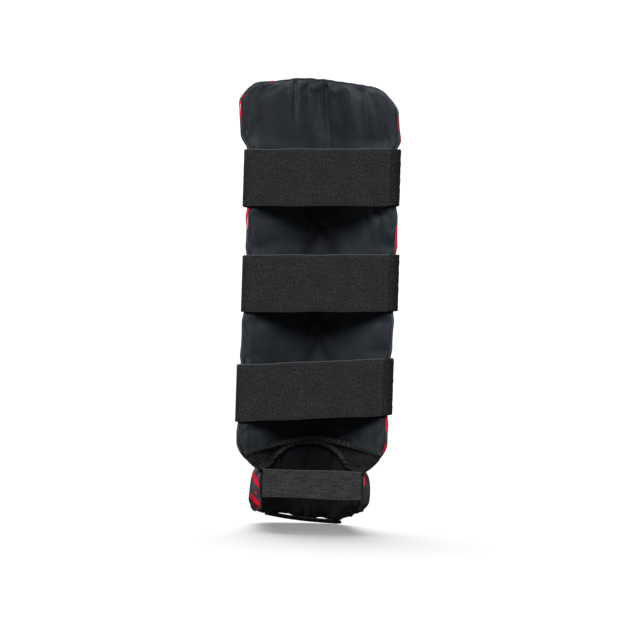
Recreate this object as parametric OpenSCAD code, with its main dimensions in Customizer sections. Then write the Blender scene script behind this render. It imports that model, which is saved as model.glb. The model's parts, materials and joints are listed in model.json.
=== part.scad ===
// Shin and instep guard for contact sports: a padded trough for the shin, three wide elastic
// leg straps with hook tape ends, a gathered elastic ankle joint and a padded instep with its
// sole strap and toe loop. X runs across the leg, +Y towards the front of the shin, +Z up.

/* [Shin pad] */
// Height of the shin pad along its side edges
shin_height = 335; // [300:1:360]
// Width of the shin pad under the straps
shin_width = 130; // [124:0.5:132]
// Extra width of the top above the highest strap
top_flare = 9; // [0:1:10]
// Depth of the leg channel
channel_depth = 43; // [36:1:48]
// Depth from the back edges to the front face, without the bolsters
shin_depth = 59; // [56:1:66]
// Radius of the top corner on the sewn side of the straps
sewn_corner = 17; // [14:1:34]
// Radius of the top corner on the hook tape side of the straps
tape_corner = 25; // [14:1:34]
// Radius of the bottom corners
bottom_corner = 20; // [12:1:28]
// Rise of the top edge at its middle
top_dome = 5; // [0:1:10]
// Rise of the arch cut over the ankle
ankle_arch = 23; // [10:1:26]
// Height of the raised bolsters on the front
bolster_height = 9; // [6:1:12]

/* [Instep pad] */
// Length of the instep pad along its crown
instep_length = 110; // [100:1:120]
// Inside radius of the instep pad over the ankle
instep_radius = 43; // [40:1:46]
// Thickness of the instep pad
instep_thick = 11; // [9:1:12]
// Slope of the instep pad below level at the ankle, in degrees
slope_ankle = 50; // [46:1:54]
// Slope of the instep pad below level at the toes, in degrees
slope_toe = 24; // [18:1:30]

/* [Straps] */
// Width of the leg elastic
leg_strap_width = 50; // [40:1:52]
// Thickness of the leg elastic
strap_thick = 1.7; // [1.4:0.1:2]
// Height of the middle of the top strap above the toe loop
top_strap_height = 310; // [300:1:316]
// Height of the middle of the middle strap
mid_strap_height = 218; // [205:1:232]
// Height of the middle of the lowest strap
low_strap_height = 125; // [118:1:135]
// Width of the sole elastic
sole_strap_width = 25; // [20:1:27]
// Width of the toe elastic
toe_loop_width = 10; // [8:1:12]

/* [Materials] */
// Thickness of the lining cloth
lining_thick = 1.2; // [0.8:0.1:1.6]
// Thickness of the synthetic leather cover
cover_thick = 1.5; // [1.2:0.1:1.8]

/* [Hidden] */

origin_y = 69; // moves the middle of the guard's depth onto the Z axis
shin_bottom = 59; // height of the bottom corners of the shin pad
half_width = shin_width / 2;
half_height = shin_height / 2;
shin_middle = shin_bottom + half_height;
flare_start = 346;
flare_run = 14;
inner_inset = 4; // the lining's edge lies this far inside the outer face
edge_depth = 9; // the outer face ends this far in front of the back edges
inner_power = 1.9; // fullness of the channel's curve
outer_power = 1; // fullness of the front's curve
end_taper = 0.36; // share of its thickness that the pad loses at the top and bottom edges
end_run = 24; // length of that taper
dome_half = 47; // the dome's rise is counted between these distances from the middle
arch_half = 54; // half of the ankle arch's span
arch_run = 90; // height over which the arch dies out up the pad

shin_cols = 16;
shin_rows = 18;
instep_cols = 18;
instep_rows = 12;

lining_colour = [0.10, 0.11, 0.12];
cover_colour = [0.13, 0.14, 0.15];
foam_colour = [0.55, 0.56, 0.58];
dense_foam_colour = [0.20, 0.21, 0.24];
elastic_colour = [0.16, 0.165, 0.165];
tape_colour = [0.06, 0.06, 0.065];
thread_colour = [0.04, 0.04, 0.045];

// ---- general helpers ----

function smooth(t) = let (c = min(1, max(0, t))) c * c * (3 - 2 * c);
function unit(v) = v / norm(v);
function plan(points) = [for (p = points) [p[0], p[1]]];
function reversed(list) = [for (k = [len(list) - 1:-1:0]) list[k]];
function mirrored(outline) = [for (p = reversed(outline)) [-p[0], p[1]]];

// How far a rounded corner sets a border in, at a distance from the corner's end.
function corner_cut(radius, distance) = distance >= radius ? 0 :
  radius - sqrt(radius * radius - pow(radius - distance, 2));
diagonal_cut = 1 - sqrt(0.5); // the same at 45 degrees round the corner, for a radius of 1

// A closed solid between two grids of points, with cols by rows cells each.
module between_grids(inner, outer, cols, rows) {
  stride = cols + 1;
  count = stride * (rows + 1);
  border = concat(
    [for (i = [0:cols - 1]) i],
    [for (j = [0:rows - 1]) j * stride + cols],
    [for (i = [0:cols - 1]) rows * stride + cols - i],
    [for (j = [0:rows - 1]) (rows - j) * stride]);
  cells = [for (j = [0:rows - 1], i = [0:cols - 1])
    let (a = j * stride + i) [a, a + 1, a + 1 + stride, a + stride]];
  outer_faces = [for (f = cells) each [
    [f[0] + count, f[1] + count, f[2] + count], [f[0] + count, f[2] + count, f[3] + count]]];
  inner_faces = [for (f = cells) each [[f[0], f[2], f[1]], [f[0], f[3], f[2]]]];
  side_faces = [for (k = [0:len(border) - 1])
    let (a = border[k], b = border[(k + 1) % len(border)]) each [
      [a + count, a, b], [a + count, b, b + count]]];
  polyhedron(concat(inner, outer), concat(outer_faces, inner_faces, side_faces), convexity = 8);
}

// A tube of the given radius and sides round a closed loop of points.
module closed_tube(loop, radius, sides) {
  n = len(loop);
  rings = [for (k = [0:n - 1])
    let (
      ahead = unit(loop[(k + 1) % n] - loop[(k + n - 1) % n]),
      side = unit(cross(ahead, abs(ahead[1]) < 0.9 ? [0, 1, 0] : [1, 0, 0])),
      up = cross(side, ahead)
    )
    for (s = [0:sides - 1])
      loop[k] + radius * (cos(360 * s / sides) * side + sin(360 * s / sides) * up)];
  faces = [for (k = [0:n - 1], s = [0:sides - 1])
    let (
      a = k * sides + s,
      b = k * sides + (s + 1) % sides,
      c = ((k + 1) % n) * sides + (s + 1) % sides,
      d = ((k + 1) % n) * sides + s
    ) each [[a, b, c], [a, c, d]]];
  polyhedron(rings, faces, convexity = 8);
}

// A welt beside a pad's edge face. The two loops run round the borders of the pad's inner and
// outer faces, and share is the place of the seam between them.
welt_radius = 1;
welt_out = 1.75; // distance of the welt's middle outside the edge face
module welt(inner, outer, share) {
  n = len(inner);
  closed_tube([for (k = [0:n - 1]) inner[k] * (1 - share) + outer[k] * share
    + welt_out * unit(cross(outer[k] - inner[k], inner[(k + 1) % n] - inner[(k + n - 1) % n]))],
    welt_radius, 8);
}

// An upright band, whose top and bottom edges climb with X. Its plan outline runs along one
// face and back along the other through as many points.
module band(outline, mid_z, width, climb) {
  n = len(outline);
  low = [for (p = outline) [p[0], p[1], mid_z - width / 2 + climb * p[0]]];
  high = [for (p = low) p + [0, 0, width]];
  sides = [for (k = [0:n - 1]) [k, (k + 1) % n, n + (k + 1) % n, n + k]];
  ends = [for (k = [0:n / 2 - 2]) each [[k, k + 1, n - 2 - k], [k, n - 2 - k, n - 1 - k]]];
  polyhedron(concat(low, high),
    concat(ends, [for (f = ends) [f[2] + n, f[1] + n, f[0] + n]],
      [for (f = sides) each [[f[0], f[2], f[1]], [f[0], f[3], f[2]]]]), convexity = 8);
}

// ---- the shin pad's shape ----
// A place on the pad is a pair: across, from -1 at the sewn side of the straps to 1 at the
// tape side, and up, from -1 at the ankle to 1 at the top.

function shin_corner(across, up) =
  up < 0 ? bottom_corner : across < 0 ? sewn_corner : tape_corner;
function shin_row_angle(across, up) = let (
    radius = shin_corner(across, up),
    from_end = half_height - abs(up) * (half_height - diagonal_cut * radius)
  ) asin(1 - corner_cut(radius, from_end) / half_width);
function shin_angle(across, up) = across * shin_row_angle(across, up);
function shin_column_half(across, up) = let (
    radius = shin_corner(across, up),
    end_angle = across * asin(1 - diagonal_cut * radius / half_width)
  ) half_height - corner_cut(radius, half_width * (1 - abs(sin(end_angle))));

function dome_at(x, up) = -top_dome * pow(x / dome_half, 2) * pow((1 + up) / 2, 6);
function arch_at(x, z) = abs(x) >= arch_half ? 0 :
  ankle_arch * (1 - pow(x / arch_half, 4)) * pow(max(0, 1 - (z - shin_bottom) / arch_run), 2);
function shin_z(across, up) = let (
    flat_z = shin_middle + up * shin_column_half(across, up),
    x = half_width * sin(shin_angle(across, up))
  ) flat_z + top_dome / 2 + dome_at(x, up) + arch_at(x, flat_z) - top_dome / 2 * (1 - up) / 2;

function half_width_at(z) = half_width + top_flare / 2 * smooth((z - flare_start) / flare_run);
function channel_xy(angle, z) = [
  (half_width_at(z) - inner_inset) * sin(angle), channel_depth * pow(cos(angle), inner_power)];
function front_xy(angle, z) = [half_width_at(z) * sin(angle),
  edge_depth + (shin_depth - edge_depth) * pow(max(0, cos(angle)), outer_power)];

function end_share(from_end) = pow(max(0, 1 - from_end / end_run), 2);
function shin_fullness(up) = 1 - end_taper * end_share((1 - abs(up)) * half_height);

// The levels through the pad: 0 the lining's face, 1 behind the lining, 2 between the foams,
// 3 under the cover, 4 the cover's face.
function level_share(level, thick) =
  level == 0 ? 0 :
  level == 1 ? lining_thick / thick :
  level == 2 ? (lining_thick + (thick - lining_thick - cover_thick) * 0.55) / thick :
  level == 3 ? 1 - cover_thick / thick : 1;

function shin_point(across, up, level) = let (
    angle = shin_angle(across, up),
    z = shin_z(across, up),
    inside = channel_xy(angle, z),
    outside = inside + (front_xy(angle, z) - inside) * shin_fullness(up),
    at = inside + (outside - inside) * level_share(level, norm(outside - inside))
  ) [at[0], at[1], z];

function shin_across(i) = -1 + 2 * i / shin_cols;
function shin_up(j) = -cos(180 * j / shin_rows);
function shin_grid(level) = [for (j = [0:shin_rows], i = [0:shin_cols])
  shin_point(shin_across(i), shin_up(j), level)];

module shin_layer(low, high) between_grids(shin_grid(low), shin_grid(high), shin_cols, shin_rows);

function shin_border(level) = [for (p = concat(
    [for (i = [0:shin_cols - 1]) [shin_across(i), -1]],
    [for (j = [0:shin_rows - 1]) [1, shin_up(j)]],
    [for (i = [0:shin_cols - 1]) [-shin_across(i), 1]],
    [for (j = [0:shin_rows - 1]) [-1, -shin_up(j)]])) shin_point(p[0], p[1], level)];
module shin_edge_welt() welt(shin_border(0), shin_border(4), 0.45);

// ---- bolsters and patches on the front face ----

// A point above the front face: angle across, height, and distance out from the cover.
function front_point(angle, z, out) = let (
    p = front_xy(angle, z),
    along = unit(front_xy(angle + 0.5, z) - p)
  ) [p[0] - along[1] * out, p[1] + along[0] * out, z];

function dome(s, t) = pow(max(0, (1 - pow(abs(s), 4)) * (1 - pow(abs(t), 12))), 0.5);

// A raised pad between two angles and two heights; low and high are pairs that hold the
// distance out at its rim and how much further its middle stands out.
module front_pad(angles, heights, low, high, cols, rows) {
  function place(i, j, out) = let (
      s = -1 + 2 * i / cols,
      t = -cos(180 * j / rows),
      angle = (angles[0] + angles[1]) / 2 + s * (angles[1] - angles[0]) / 2,
      z = (heights[0] + heights[1]) / 2 + t * (heights[1] - heights[0]) / 2
    ) front_point(angle, z, out[0] + out[1] * dome(s, t));
  between_grids(
    [for (j = [0:rows], i = [0:cols]) place(i, j, low)],
    [for (j = [0:rows], i = [0:cols]) place(i, j, high)], cols, rows);
}

bolster_gap = 0.7; // the bolsters stand this far off the cover's facets
bolster_rim = 0.6; // thickness of the bolster foam at its rim
bolster_skin = 1.2; // thickness of the bolster's cover
bolster_angles = [[-21, 21], [27, 50], [-50, -27]];
bolster_heights = [[100, 374], [112, 360], [112, 360]];

module bolsters(low, high)
  for (k = [0:2]) front_pad(bolster_angles[k], bolster_heights[k], low, high, 8, 14);
bolster_crown = bolster_height - bolster_gap - bolster_rim - bolster_skin;
module bolster_foam()
  bolsters([bolster_gap, 0], [bolster_gap + bolster_rim, bolster_crown]);
module bolster_cover()
  bolsters([bolster_gap + bolster_rim, bolster_crown],
    [bolster_gap + bolster_rim + bolster_skin, bolster_crown]);

// ---- leg straps ----
// Each strap runs straight across the back between two hinge lines, turns round both side
// edges, is sewn down on one outer side and holds with its hook tape on the other.

strap_mids = [top_strap_height, mid_strap_height, low_strap_height];
strap_climbs = [0.033, 0.035, 0.073]; // the lowest strap sits the most askew
hinge_x = 59.3;
hinge_gap = 1.6; // from a hinge line to the end of the next piece
wrap_radius = 7.6; // inner face of the elastic round the side edge
wrap_y = 6.6; // middle of that turn
strap_back = wrap_y - wrap_radius; // inner face of the elastic across the back
wrap_out = wrap_radius + hinge_x - half_width; // distance of the elastic off the outer face
hook_thick = 0.8;
tape_thick = 1.1;
patch_thick = 1.2;
patch_gap = 0.2;
anchor_turn = 62; // angle on the pad where the sewn end stops
tape_turn = 66; // angle on the pad where the hook tape stops
patch_turn = 58; // angle on the pad where the loop patch stops

// The plan of a sheet on the outer face, between two angles and two distances out.
function face_outline(from, to, low, high) = let (steps = ceil((from - to) / 4)) plan(concat(
  [for (k = [0:steps]) front_point(from + (to - from) * k / steps, 0, high)],
  [for (k = [steps:-1:0]) front_point(from + (to - from) * k / steps, 0, low)]));

// A path round the side edge and forwards along the outer face.
function wrap_path(out, last_angle) = concat(
  [[hinge_x + hinge_gap, strap_back - out]],
  [for (a = [-60:15:0]) [hinge_x, wrap_y] + (wrap_radius + out) * [cos(a), sin(a)]],
  plan([for (k = [0:5]) front_point(82 + (last_angle - 82) * k / 5, 0, wrap_out + out)]));
function wrap_outline(low, high, last_angle) =
  concat(wrap_path(high, last_angle), reversed(wrap_path(low, last_angle)));

function web_end(x, turn) = [for (a = [-75:15:75])
  [x, strap_back - strap_thick / 2] + strap_thick / 2 * [cos(a + turn), sin(a + turn)]];

module leg_strap(k)
  band(concat(web_end(hinge_x, 0), web_end(-hinge_x, 180)),
    strap_mids[k], leg_strap_width, strap_climbs[k]);

module strap_anchor(k)
  band(mirrored(wrap_outline(0, strap_thick, anchor_turn)),
    strap_mids[k], leg_strap_width, strap_climbs[k]);

module hook_field(k)
  band(wrap_outline(0, hook_thick, tape_turn), strap_mids[k], leg_strap_width - 3,
    strap_climbs[k]);

module hook_tape(k)
  band(wrap_outline(hook_thick, hook_thick + tape_thick, tape_turn), strap_mids[k],
    leg_strap_width, strap_climbs[k]);

module loop_patch(k)
  band(face_outline(82, patch_turn, patch_gap, patch_gap + patch_thick), strap_mids[k],
    leg_strap_width, strap_climbs[k]);

stitch_thick = 0.5;
stitch_width = 0.8;
stitch_gap = 0.05; // the thread stands this far off the elastic's facets

// A box of stitching over each sewn strap end.
module anchor_stitches() {
  low = wrap_out + strap_thick + stitch_gap;
  high = wrap_out + strap_thick + stitch_thick;
  for (k = [0:2]) {
    for (edge = [-20, 20])
      band(mirrored(face_outline(79, 65, low, high)), strap_mids[k] + edge, stitch_width,
        strap_climbs[k]);
    for (from = [78, 67])
      band(mirrored(face_outline(from, from - 1, low, high)), strap_mids[k], 38,
        strap_climbs[k]);
  }
}

// ---- the instep pad's shape ----
// A place on the instep is a distance along its crown and an angle round its section.

crown_start = [49, 73]; // Y and Z of the crown's inner face at the ankle
instep_shift = -1.5; // the instep hangs this far off the shin pad's middle
instep_roll = 0.5; // it is rolled by this angle about the Y axis
instep_turn = 5; // and turned by this angle about the Z axis
turn_y = 30; // at this distance in front of the leg straps
curl_radius = 28; // inside radius of the flaps past the widest line
toe_radius = 103; // inside radius of the section at the toes
toe_power = 3.5; // how late the section opens out to that radius
flap_angle = 131; // how far round the flaps would reach right at the ankle
flap_half = 80; // half of the width of the pad laid flat, across the flaps
least_angle = 5; // the reach round the section tends to this angle past the toes
flap_length = 52; // distance along the crown where the flaps have lost half their reach
flap_power = 2; // how abruptly they lose it
toe_corner = 34; // radius of the rounded toe corners
flap_corner = 9; // radius of the flaps' bottom corners
toe_half = 44; // half of the toe border's width before it is rounded
bend = (slope_ankle - slope_toe) / instep_length; // degrees per mm along the crown
bend_radius = 180 / PI / bend;

function slope(along) = slope_ankle - bend * along;
function crown(along) = crown_start + bend_radius * [
  sin(slope_ankle) - sin(slope(along)), cos(slope_ankle) - cos(slope(along))];
function section_radius(along) = instep_radius
  + (toe_radius - instep_radius) * pow(max(0, along) / instep_length, toe_power);

// Across and down from the crown, at an angle round the section, out from the lining.
function section_xd(angle, out, along) = let (r = section_radius(along), a = abs(angle))
  a <= 90 ? [(r + out) * sin(angle), r - (r + out) * cos(a)]
    : [sign(angle) * ((r - curl_radius) + (curl_radius + out) * sin(a)),
      r - (curl_radius + out) * cos(a)];

// Rolls and turns a point of the instep into its place under the shin pad.
instep_pivot = [0, turn_y, crown_start[1]];
function hang(p) = let (
    q = p - instep_pivot,
    rolled = [q[0] * cos(instep_roll) + q[2] * sin(instep_roll), q[1],
      q[2] * cos(instep_roll) - q[0] * sin(instep_roll)],
    turned = [rolled[0] * cos(instep_turn) - rolled[1] * sin(instep_turn),
      rolled[0] * sin(instep_turn) + rolled[1] * cos(instep_turn), rolled[2]]
  ) turned + instep_pivot + [instep_shift, 0, 0];
module hang_instep()
  translate(instep_pivot + [instep_shift, 0, 0]) rotate([0, 0, instep_turn])
    rotate([0, instep_roll, 0]) translate(-instep_pivot) children();

function instep_at(along, angle, out) = let (
    c = crown(along),
    s = slope(along),
    xd = section_xd(angle, out, along)
  ) hang([xd[0], c[0] - xd[1] * sin(s), c[1] - xd[1] * cos(s)]);

function reach(along) = least_angle
  + (flap_angle - least_angle) / (1 + pow(max(0, along) / flap_length, flap_power));
function rear_along(angle) = let (a = abs(angle))
  3 * smooth(a / 50) - 3 * smooth((a - 60) / 30) + 16 * smooth((a - 88) / 40);

// A place is across, from -1 to 1, and ahead, from 0 at the ankle to 1 at the toes.
function ankle_end(across) = rear_along(across * flap_angle)
  + corner_cut(flap_corner, flap_half - abs(across) * (flap_half - diagonal_cut * flap_corner));
function toe_end(across) = instep_length
  - corner_cut(toe_corner, toe_half - abs(across) * (toe_half - diagonal_cut * toe_corner));
function instep_along(across, ahead) = ankle_end(across) * (1 - ahead) + toe_end(across) * ahead;
function instep_place(across, ahead) = let (
    side = instep_along(1, ahead),
    from_ankle = side - ankle_end(1) + diagonal_cut * flap_corner,
    flap_in = corner_cut(flap_corner, from_ankle) / flap_half,
    toe_in = corner_cut(toe_corner, instep_length - side) / toe_half
  ) [instep_along(across, ahead), across * reach(side) * (1 - toe_in) * (1 - flap_in)];

function instep_fullness(across, ahead) =
  1 - 0.3 * pow(abs(across), 8) - 0.35 * pow(abs(2 * ahead - 1), 14);

// The instep's levels: 0 the lining's face, 1 behind the lining, 2 under the cover,
// 3 the cover's face.
function instep_level(level, thick) =
  level == 0 ? 0 :
  level == 1 ? lining_thick :
  level == 2 ? thick - cover_thick : thick;

function instep_point(across, ahead, level) = let (place = instep_place(across, ahead))
  instep_at(place[0], place[1],
    instep_level(level, instep_thick * instep_fullness(across, ahead)));

function instep_across(i) = -1 + 2 * i / instep_cols;
function instep_ahead(j) = (1 - cos(180 * j / instep_rows)) * 0.2 + j / instep_rows * 0.6;
function instep_grid(level) = [for (j = [0:instep_rows], i = [0:instep_cols])
  instep_point(instep_across(i), instep_ahead(instep_rows - j), level)];

module instep_layer(low, high)
  between_grids(instep_grid(low), instep_grid(high), instep_cols, instep_rows);

function instep_border(level) = [for (p = concat(
    [for (i = [0:instep_cols - 1]) [instep_across(i), 1]],
    [for (j = [0:instep_rows - 1]) [1, instep_ahead(instep_rows - j)]],
    [for (i = [0:instep_cols - 1]) [-instep_across(i), 0]],
    [for (j = [0:instep_rows - 1]) [-1, instep_ahead(j)]])) instep_point(p[0], p[1], level)];
module instep_edge_welt() welt(instep_border(0), instep_border(3), 0.6);

// Three raised bolsters that fan out from the ankle over the instep's cover.
rib_angles = [[-15, 15], [26, 52], [-52, -26]];
rib_height = 4;
rib_gap = 0.3;
rib_rim = 0.5;
rib_skin = 1;
module instep_bolsters(low, high) {
  cols = 6;
  rows = 8;
  function place(k, i, j, out) = let (
      s = -1 + 2 * i / cols,
      t = -1 + 2 * j / rows,
      along = 49 - 35 * t,
      middle = (rib_angles[k][0] + rib_angles[k][1]) / 2,
      half = (rib_angles[k][1] - rib_angles[k][0]) / 2
    ) instep_at(along, (middle + s * half) * instep_radius / section_radius(along),
      instep_thick + out[0] + out[1] * dome(s, t));
  for (k = [0:2])
    between_grids(
      [for (j = [0:rows], i = [0:cols]) place(k, i, j, low)],
      [for (j = [0:rows], i = [0:cols]) place(k, i, j, high)], cols, rows);
}
rib_crown = rib_height - rib_gap - rib_rim - rib_skin;
module instep_bolster_foam() instep_bolsters([rib_gap, 0], [rib_gap + rib_rim, rib_crown]);
module instep_bolster_cover()
  instep_bolsters([rib_gap + rib_rim, rib_crown], [rib_gap + rib_rim + rib_skin, rib_crown]);

// The sole strap crosses behind the flaps and is sewn to their rear edges.
sole_middle = [11, 42]; // Y and Z of its middle
sole_lean = 10; // it leans forwards at the top by this angle
sole_half = 44; // half of its length
sole_thick = 1.6;

module on_sole_strap()
  hang_instep() translate([0, sole_middle[0], sole_middle[1]]) rotate([-sole_lean, 0, 0])
    children();

module sole_strap() on_sole_strap() cube([2 * sole_half, sole_thick, sole_strap_width],
  center = true);

module sole_strap_stitches()
  on_sole_strap() for (side = [-1, 1], row = [2, 5])
    translate([side * (sole_half - row), -(sole_thick + stitch_thick) / 2 - stitch_gap, 0])
      cube([stitch_width, stitch_thick, sole_strap_width - 4], center = true);

// The toe loop passes under the toes from one toe corner to the other.
toe_loop_y = 125;
toe_loop_ends = [[-41, 4.6], [26, 1.2]]; // X and Z of its two ends
toe_loop_thick = 1.5;
toe_loop_slope = 22; // its slope below level towards the toes
toe_loop_length = toe_loop_ends[1][0] - toe_loop_ends[0][0];
toe_loop_tilt = atan2(toe_loop_ends[0][1] - toe_loop_ends[1][1], toe_loop_length);
toe_loop_middle = (toe_loop_ends[0] + toe_loop_ends[1]) / 2;

module toe_loop()
  translate([toe_loop_middle[0], toe_loop_y, toe_loop_middle[1]])
    rotate([0, toe_loop_tilt, 0]) rotate([-toe_loop_slope, 0, 0])
      cube([toe_loop_length, toe_loop_width, toe_loop_thick], center = true);

// The toe loop's lower front corner is the lowest point of the guard.
lowest_z = toe_loop_middle[1] - toe_loop_length / 2 * sin(toe_loop_tilt)
  - (toe_loop_width * sin(toe_loop_slope) + toe_loop_thick * cos(toe_loop_slope)) / 2
  * cos(toe_loop_tilt);

// ---- the gathered ankle ----
// A ruched cloth band closes the gap between the two pads; its elastic lies in front of it.

gather_cols = 24;
gather_rows = 3;
gather_thick = 3;
gather_span = [0.15, 0.85]; // share of the gap that the cloth fills
elastic_span = [0.35, 0.65];

function gather_point(across, share, out) = let (
    upper = shin_point(across * 0.92, -1, 0),
    lower = instep_point(across * 0.7, 0, 0),
    p = lower + (upper - lower) * share
  ) p - [0, out, 0];

module gather_strip(low, high, span) {
  function grid(out) = [for (j = [0:gather_rows], i = [0:gather_cols])
    gather_point(-1 + 2 * i / gather_cols, span[0] + (span[1] - span[0]) * j / gather_rows, out)];
  between_grids(grid(high), grid(low), gather_cols, gather_rows);
}

module leg_piece(name, k) {
  if (name == "anchor") color(elastic_colour) strap_anchor(k);
  if (name == "web") color(elastic_colour) leg_strap(k);
  if (name == "tape") color(tape_colour) hook_tape(k);
  if (name == "hooks") color(tape_colour) hook_field(k);
  if (name == "loops") color(tape_colour) loop_patch(k);
}

translate([0, -origin_y, -lowest_z]) {
  color(lining_colour) shin_layer(0, 1);  // shin_lining
  color(foam_colour) shin_layer(1, 2);  // shin_comfort_foam
  color(dense_foam_colour) shin_layer(2, 3);  // shin_impact_foam
  color(cover_colour) shin_layer(3, 4);  // shin_cover
  color(cover_colour) shin_edge_welt();
  color(foam_colour) bolster_foam();
  color(cover_colour) bolster_cover();
  leg_piece("loops", 0);  // loop_patch_top
  leg_piece("loops", 1);  // loop_patch_mid
  leg_piece("loops", 2);  // loop_patch_low
  leg_piece("anchor", 0);  // strap_anchor_top
  leg_piece("anchor", 1);  // strap_anchor_mid
  leg_piece("anchor", 2);  // strap_anchor_low
  color(thread_colour) anchor_stitches();
  leg_piece("web", 0);  // leg_strap_top
  leg_piece("web", 1);  // leg_strap_mid
  leg_piece("web", 2);  // leg_strap_low
  leg_piece("tape", 0);  // hook_tape_top
  leg_piece("tape", 1);  // hook_tape_mid
  leg_piece("tape", 2);  // hook_tape_low
  leg_piece("hooks", 0);  // hook_field_top
  leg_piece("hooks", 1);  // hook_field_mid
  leg_piece("hooks", 2);  // hook_field_low
  color(lining_colour)  // ankle_gather
    gather_strip(0, gather_thick, gather_span);
  color(elastic_colour)  // ankle_elastic
    gather_strip(-1.2, -0.1, elastic_span);
  color(lining_colour) instep_layer(0, 1);  // instep_lining
  color(foam_colour) instep_layer(1, 2);  // instep_foam
  color(cover_colour) instep_layer(2, 3);  // instep_cover
  color(cover_colour) instep_edge_welt();
  color(foam_colour) instep_bolster_foam();
  color(cover_colour) instep_bolster_cover();
  color(elastic_colour) sole_strap();
  color(thread_colour) sole_strap_stitches();
  color(elastic_colour) toe_loop();
}
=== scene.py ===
"""A padded shin and instep guard: soft pads, elastic straps, a gathered ankle and their stitching."""

import json
import math

import bpy
import numpy as np
from mathutils import Matrix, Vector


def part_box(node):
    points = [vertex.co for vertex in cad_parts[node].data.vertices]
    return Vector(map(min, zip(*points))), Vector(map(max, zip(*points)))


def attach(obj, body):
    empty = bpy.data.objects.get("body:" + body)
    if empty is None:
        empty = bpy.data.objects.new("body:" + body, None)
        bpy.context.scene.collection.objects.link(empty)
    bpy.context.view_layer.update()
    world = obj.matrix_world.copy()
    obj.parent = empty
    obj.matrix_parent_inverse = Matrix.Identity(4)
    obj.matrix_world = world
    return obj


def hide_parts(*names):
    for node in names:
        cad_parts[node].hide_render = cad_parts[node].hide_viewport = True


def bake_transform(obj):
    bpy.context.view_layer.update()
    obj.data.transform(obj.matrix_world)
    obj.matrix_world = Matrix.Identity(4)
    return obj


bl_info = {
    "name": "Shin and instep guard",
    "version": (1, 0, 0),
    "blender": (4, 5, 0),
    "location": "View3D > Sidebar > Guard",
    "description": "Builds a padded shin and instep guard with elastic straps",
    "category": "Add Mesh",
}

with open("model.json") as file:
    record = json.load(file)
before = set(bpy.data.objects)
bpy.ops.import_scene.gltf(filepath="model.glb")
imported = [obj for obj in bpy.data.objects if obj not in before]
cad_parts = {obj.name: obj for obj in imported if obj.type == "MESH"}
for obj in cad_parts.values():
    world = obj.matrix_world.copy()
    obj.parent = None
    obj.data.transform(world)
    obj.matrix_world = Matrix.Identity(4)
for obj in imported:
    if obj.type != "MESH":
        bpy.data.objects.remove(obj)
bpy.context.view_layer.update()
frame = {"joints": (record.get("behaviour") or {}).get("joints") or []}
JOINTS = {j["name"]: j for j in frame["joints"]}
STRAPS = ("top", "mid", "low")


def linear(code):
    """The linear colour of an sRGB hex code, with alpha 1: the usual curve, a line near black."""
    parts = [int(code[k : k + 2], 16) / 255 for k in (1, 3, 5)]
    return tuple(c / 12.92 if c <= 0.04045 else ((c + 0.055) / 1.055) ** 2.4 for c in parts) + (1,)


# ---- sizes and colours ----------------------------------------------------------------------


def length_setting(name, description, default):
    return bpy.props.FloatProperty(
        name=name, description=description, default=default, unit="LENGTH", precision=4
    )


def colour_setting(name, description, code):
    return bpy.props.FloatVectorProperty(
        name=name, description=description, default=linear(code), size=4, subtype="COLOR",
        min=0.0, max=1.0,
    )


# the folds in TOP_FOLDS and MID_FOLDS have their heights at this setting, in metres
USUAL_CREASE = 0.0014


class GuardSizes(bpy.types.PropertyGroup):
    """Sizes of the soft pieces, in metres."""

    edge_bulge: length_setting("Edge bulge", "How far the pad swells sideways between straps", 0.0009)
    pillow: length_setting("Pillow", "How far the pads' faces fall away towards their seams", 0.0026)
    swell_cap: length_setting("Swell", "The most that the foam may push its cloth out", 0.0028)
    pucker: length_setting("Pucker", "Height of the small gathers along the lining's seam", 0.0004)
    crease: length_setting("Crease", "Height of the folds at the top of the lining", USUAL_CREASE)
    web_thick: length_setting("Webbing", "Thickness of the leg elastic", 0.0017)
    web_width: length_setting("Webbing width", "Width of the leg elastic", 0.05)
    piping: length_setting("Piping", "Radius of the piping round the pads", 0.0007)
    stitch: length_setting("Stitch", "Length of one stitch", 0.0026)
    ruffle: length_setting("Ruffle", "Depth of the ankle band's gathers", 0.0016)


class GuardColours(bpy.types.PropertyGroup):
    """Colours of the cloths, the synthetic leather and the thread."""

    lining: colour_setting("Lining", "Nylon lining cloth", "#2b3036")
    cover: colour_setting("Cover", "Synthetic leather", "#363b3d")
    stroke: colour_setting("Strokes", "Painted brush strokes on the cover", "#e3062c")
    elastic: colour_setting("Elastic", "Leg elastic", "#131415")
    fleck: colour_setting("Fleck", "Lighter threads in the elastic", "#303234")
    selvedge: colour_setting("Selvedge", "Edge of the elastic", "#434443")
    sole: colour_setting("Sole elastic", "Lighter elastic under the foot", "#1f1f1f")
    tape: colour_setting("Tape", "Hook and loop tape", "#161616")
    gather: colour_setting("Gather", "Ruched cloth at the ankle", "#0f1114")
    thread: colour_setting("Thread", "Sewing thread", "#16181a")


# ---- the frame's places, in millimetres -----------------------------------------------------

MID = JOINTS["mid_strap_open"]["pos_m"]
HINGE_X = -MID[0] * 1000
STRAP_Y = -1.85  # middle of the leg straps' thickness, behind the pad's back edges
TO_ROW = np.array([0.0, MID[1] * 1000 - STRAP_Y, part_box("toe_loop")[0].z * 1000 + 1.363])
STRAP_Z = [JOINTS[f"{s}_strap_open"]["pos_m"][2] * 1000 - TO_ROW[2] for s in STRAPS]
CLIMBS = (0.033, 0.035, 0.073)  # how much each strap's edges rise with X

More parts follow.
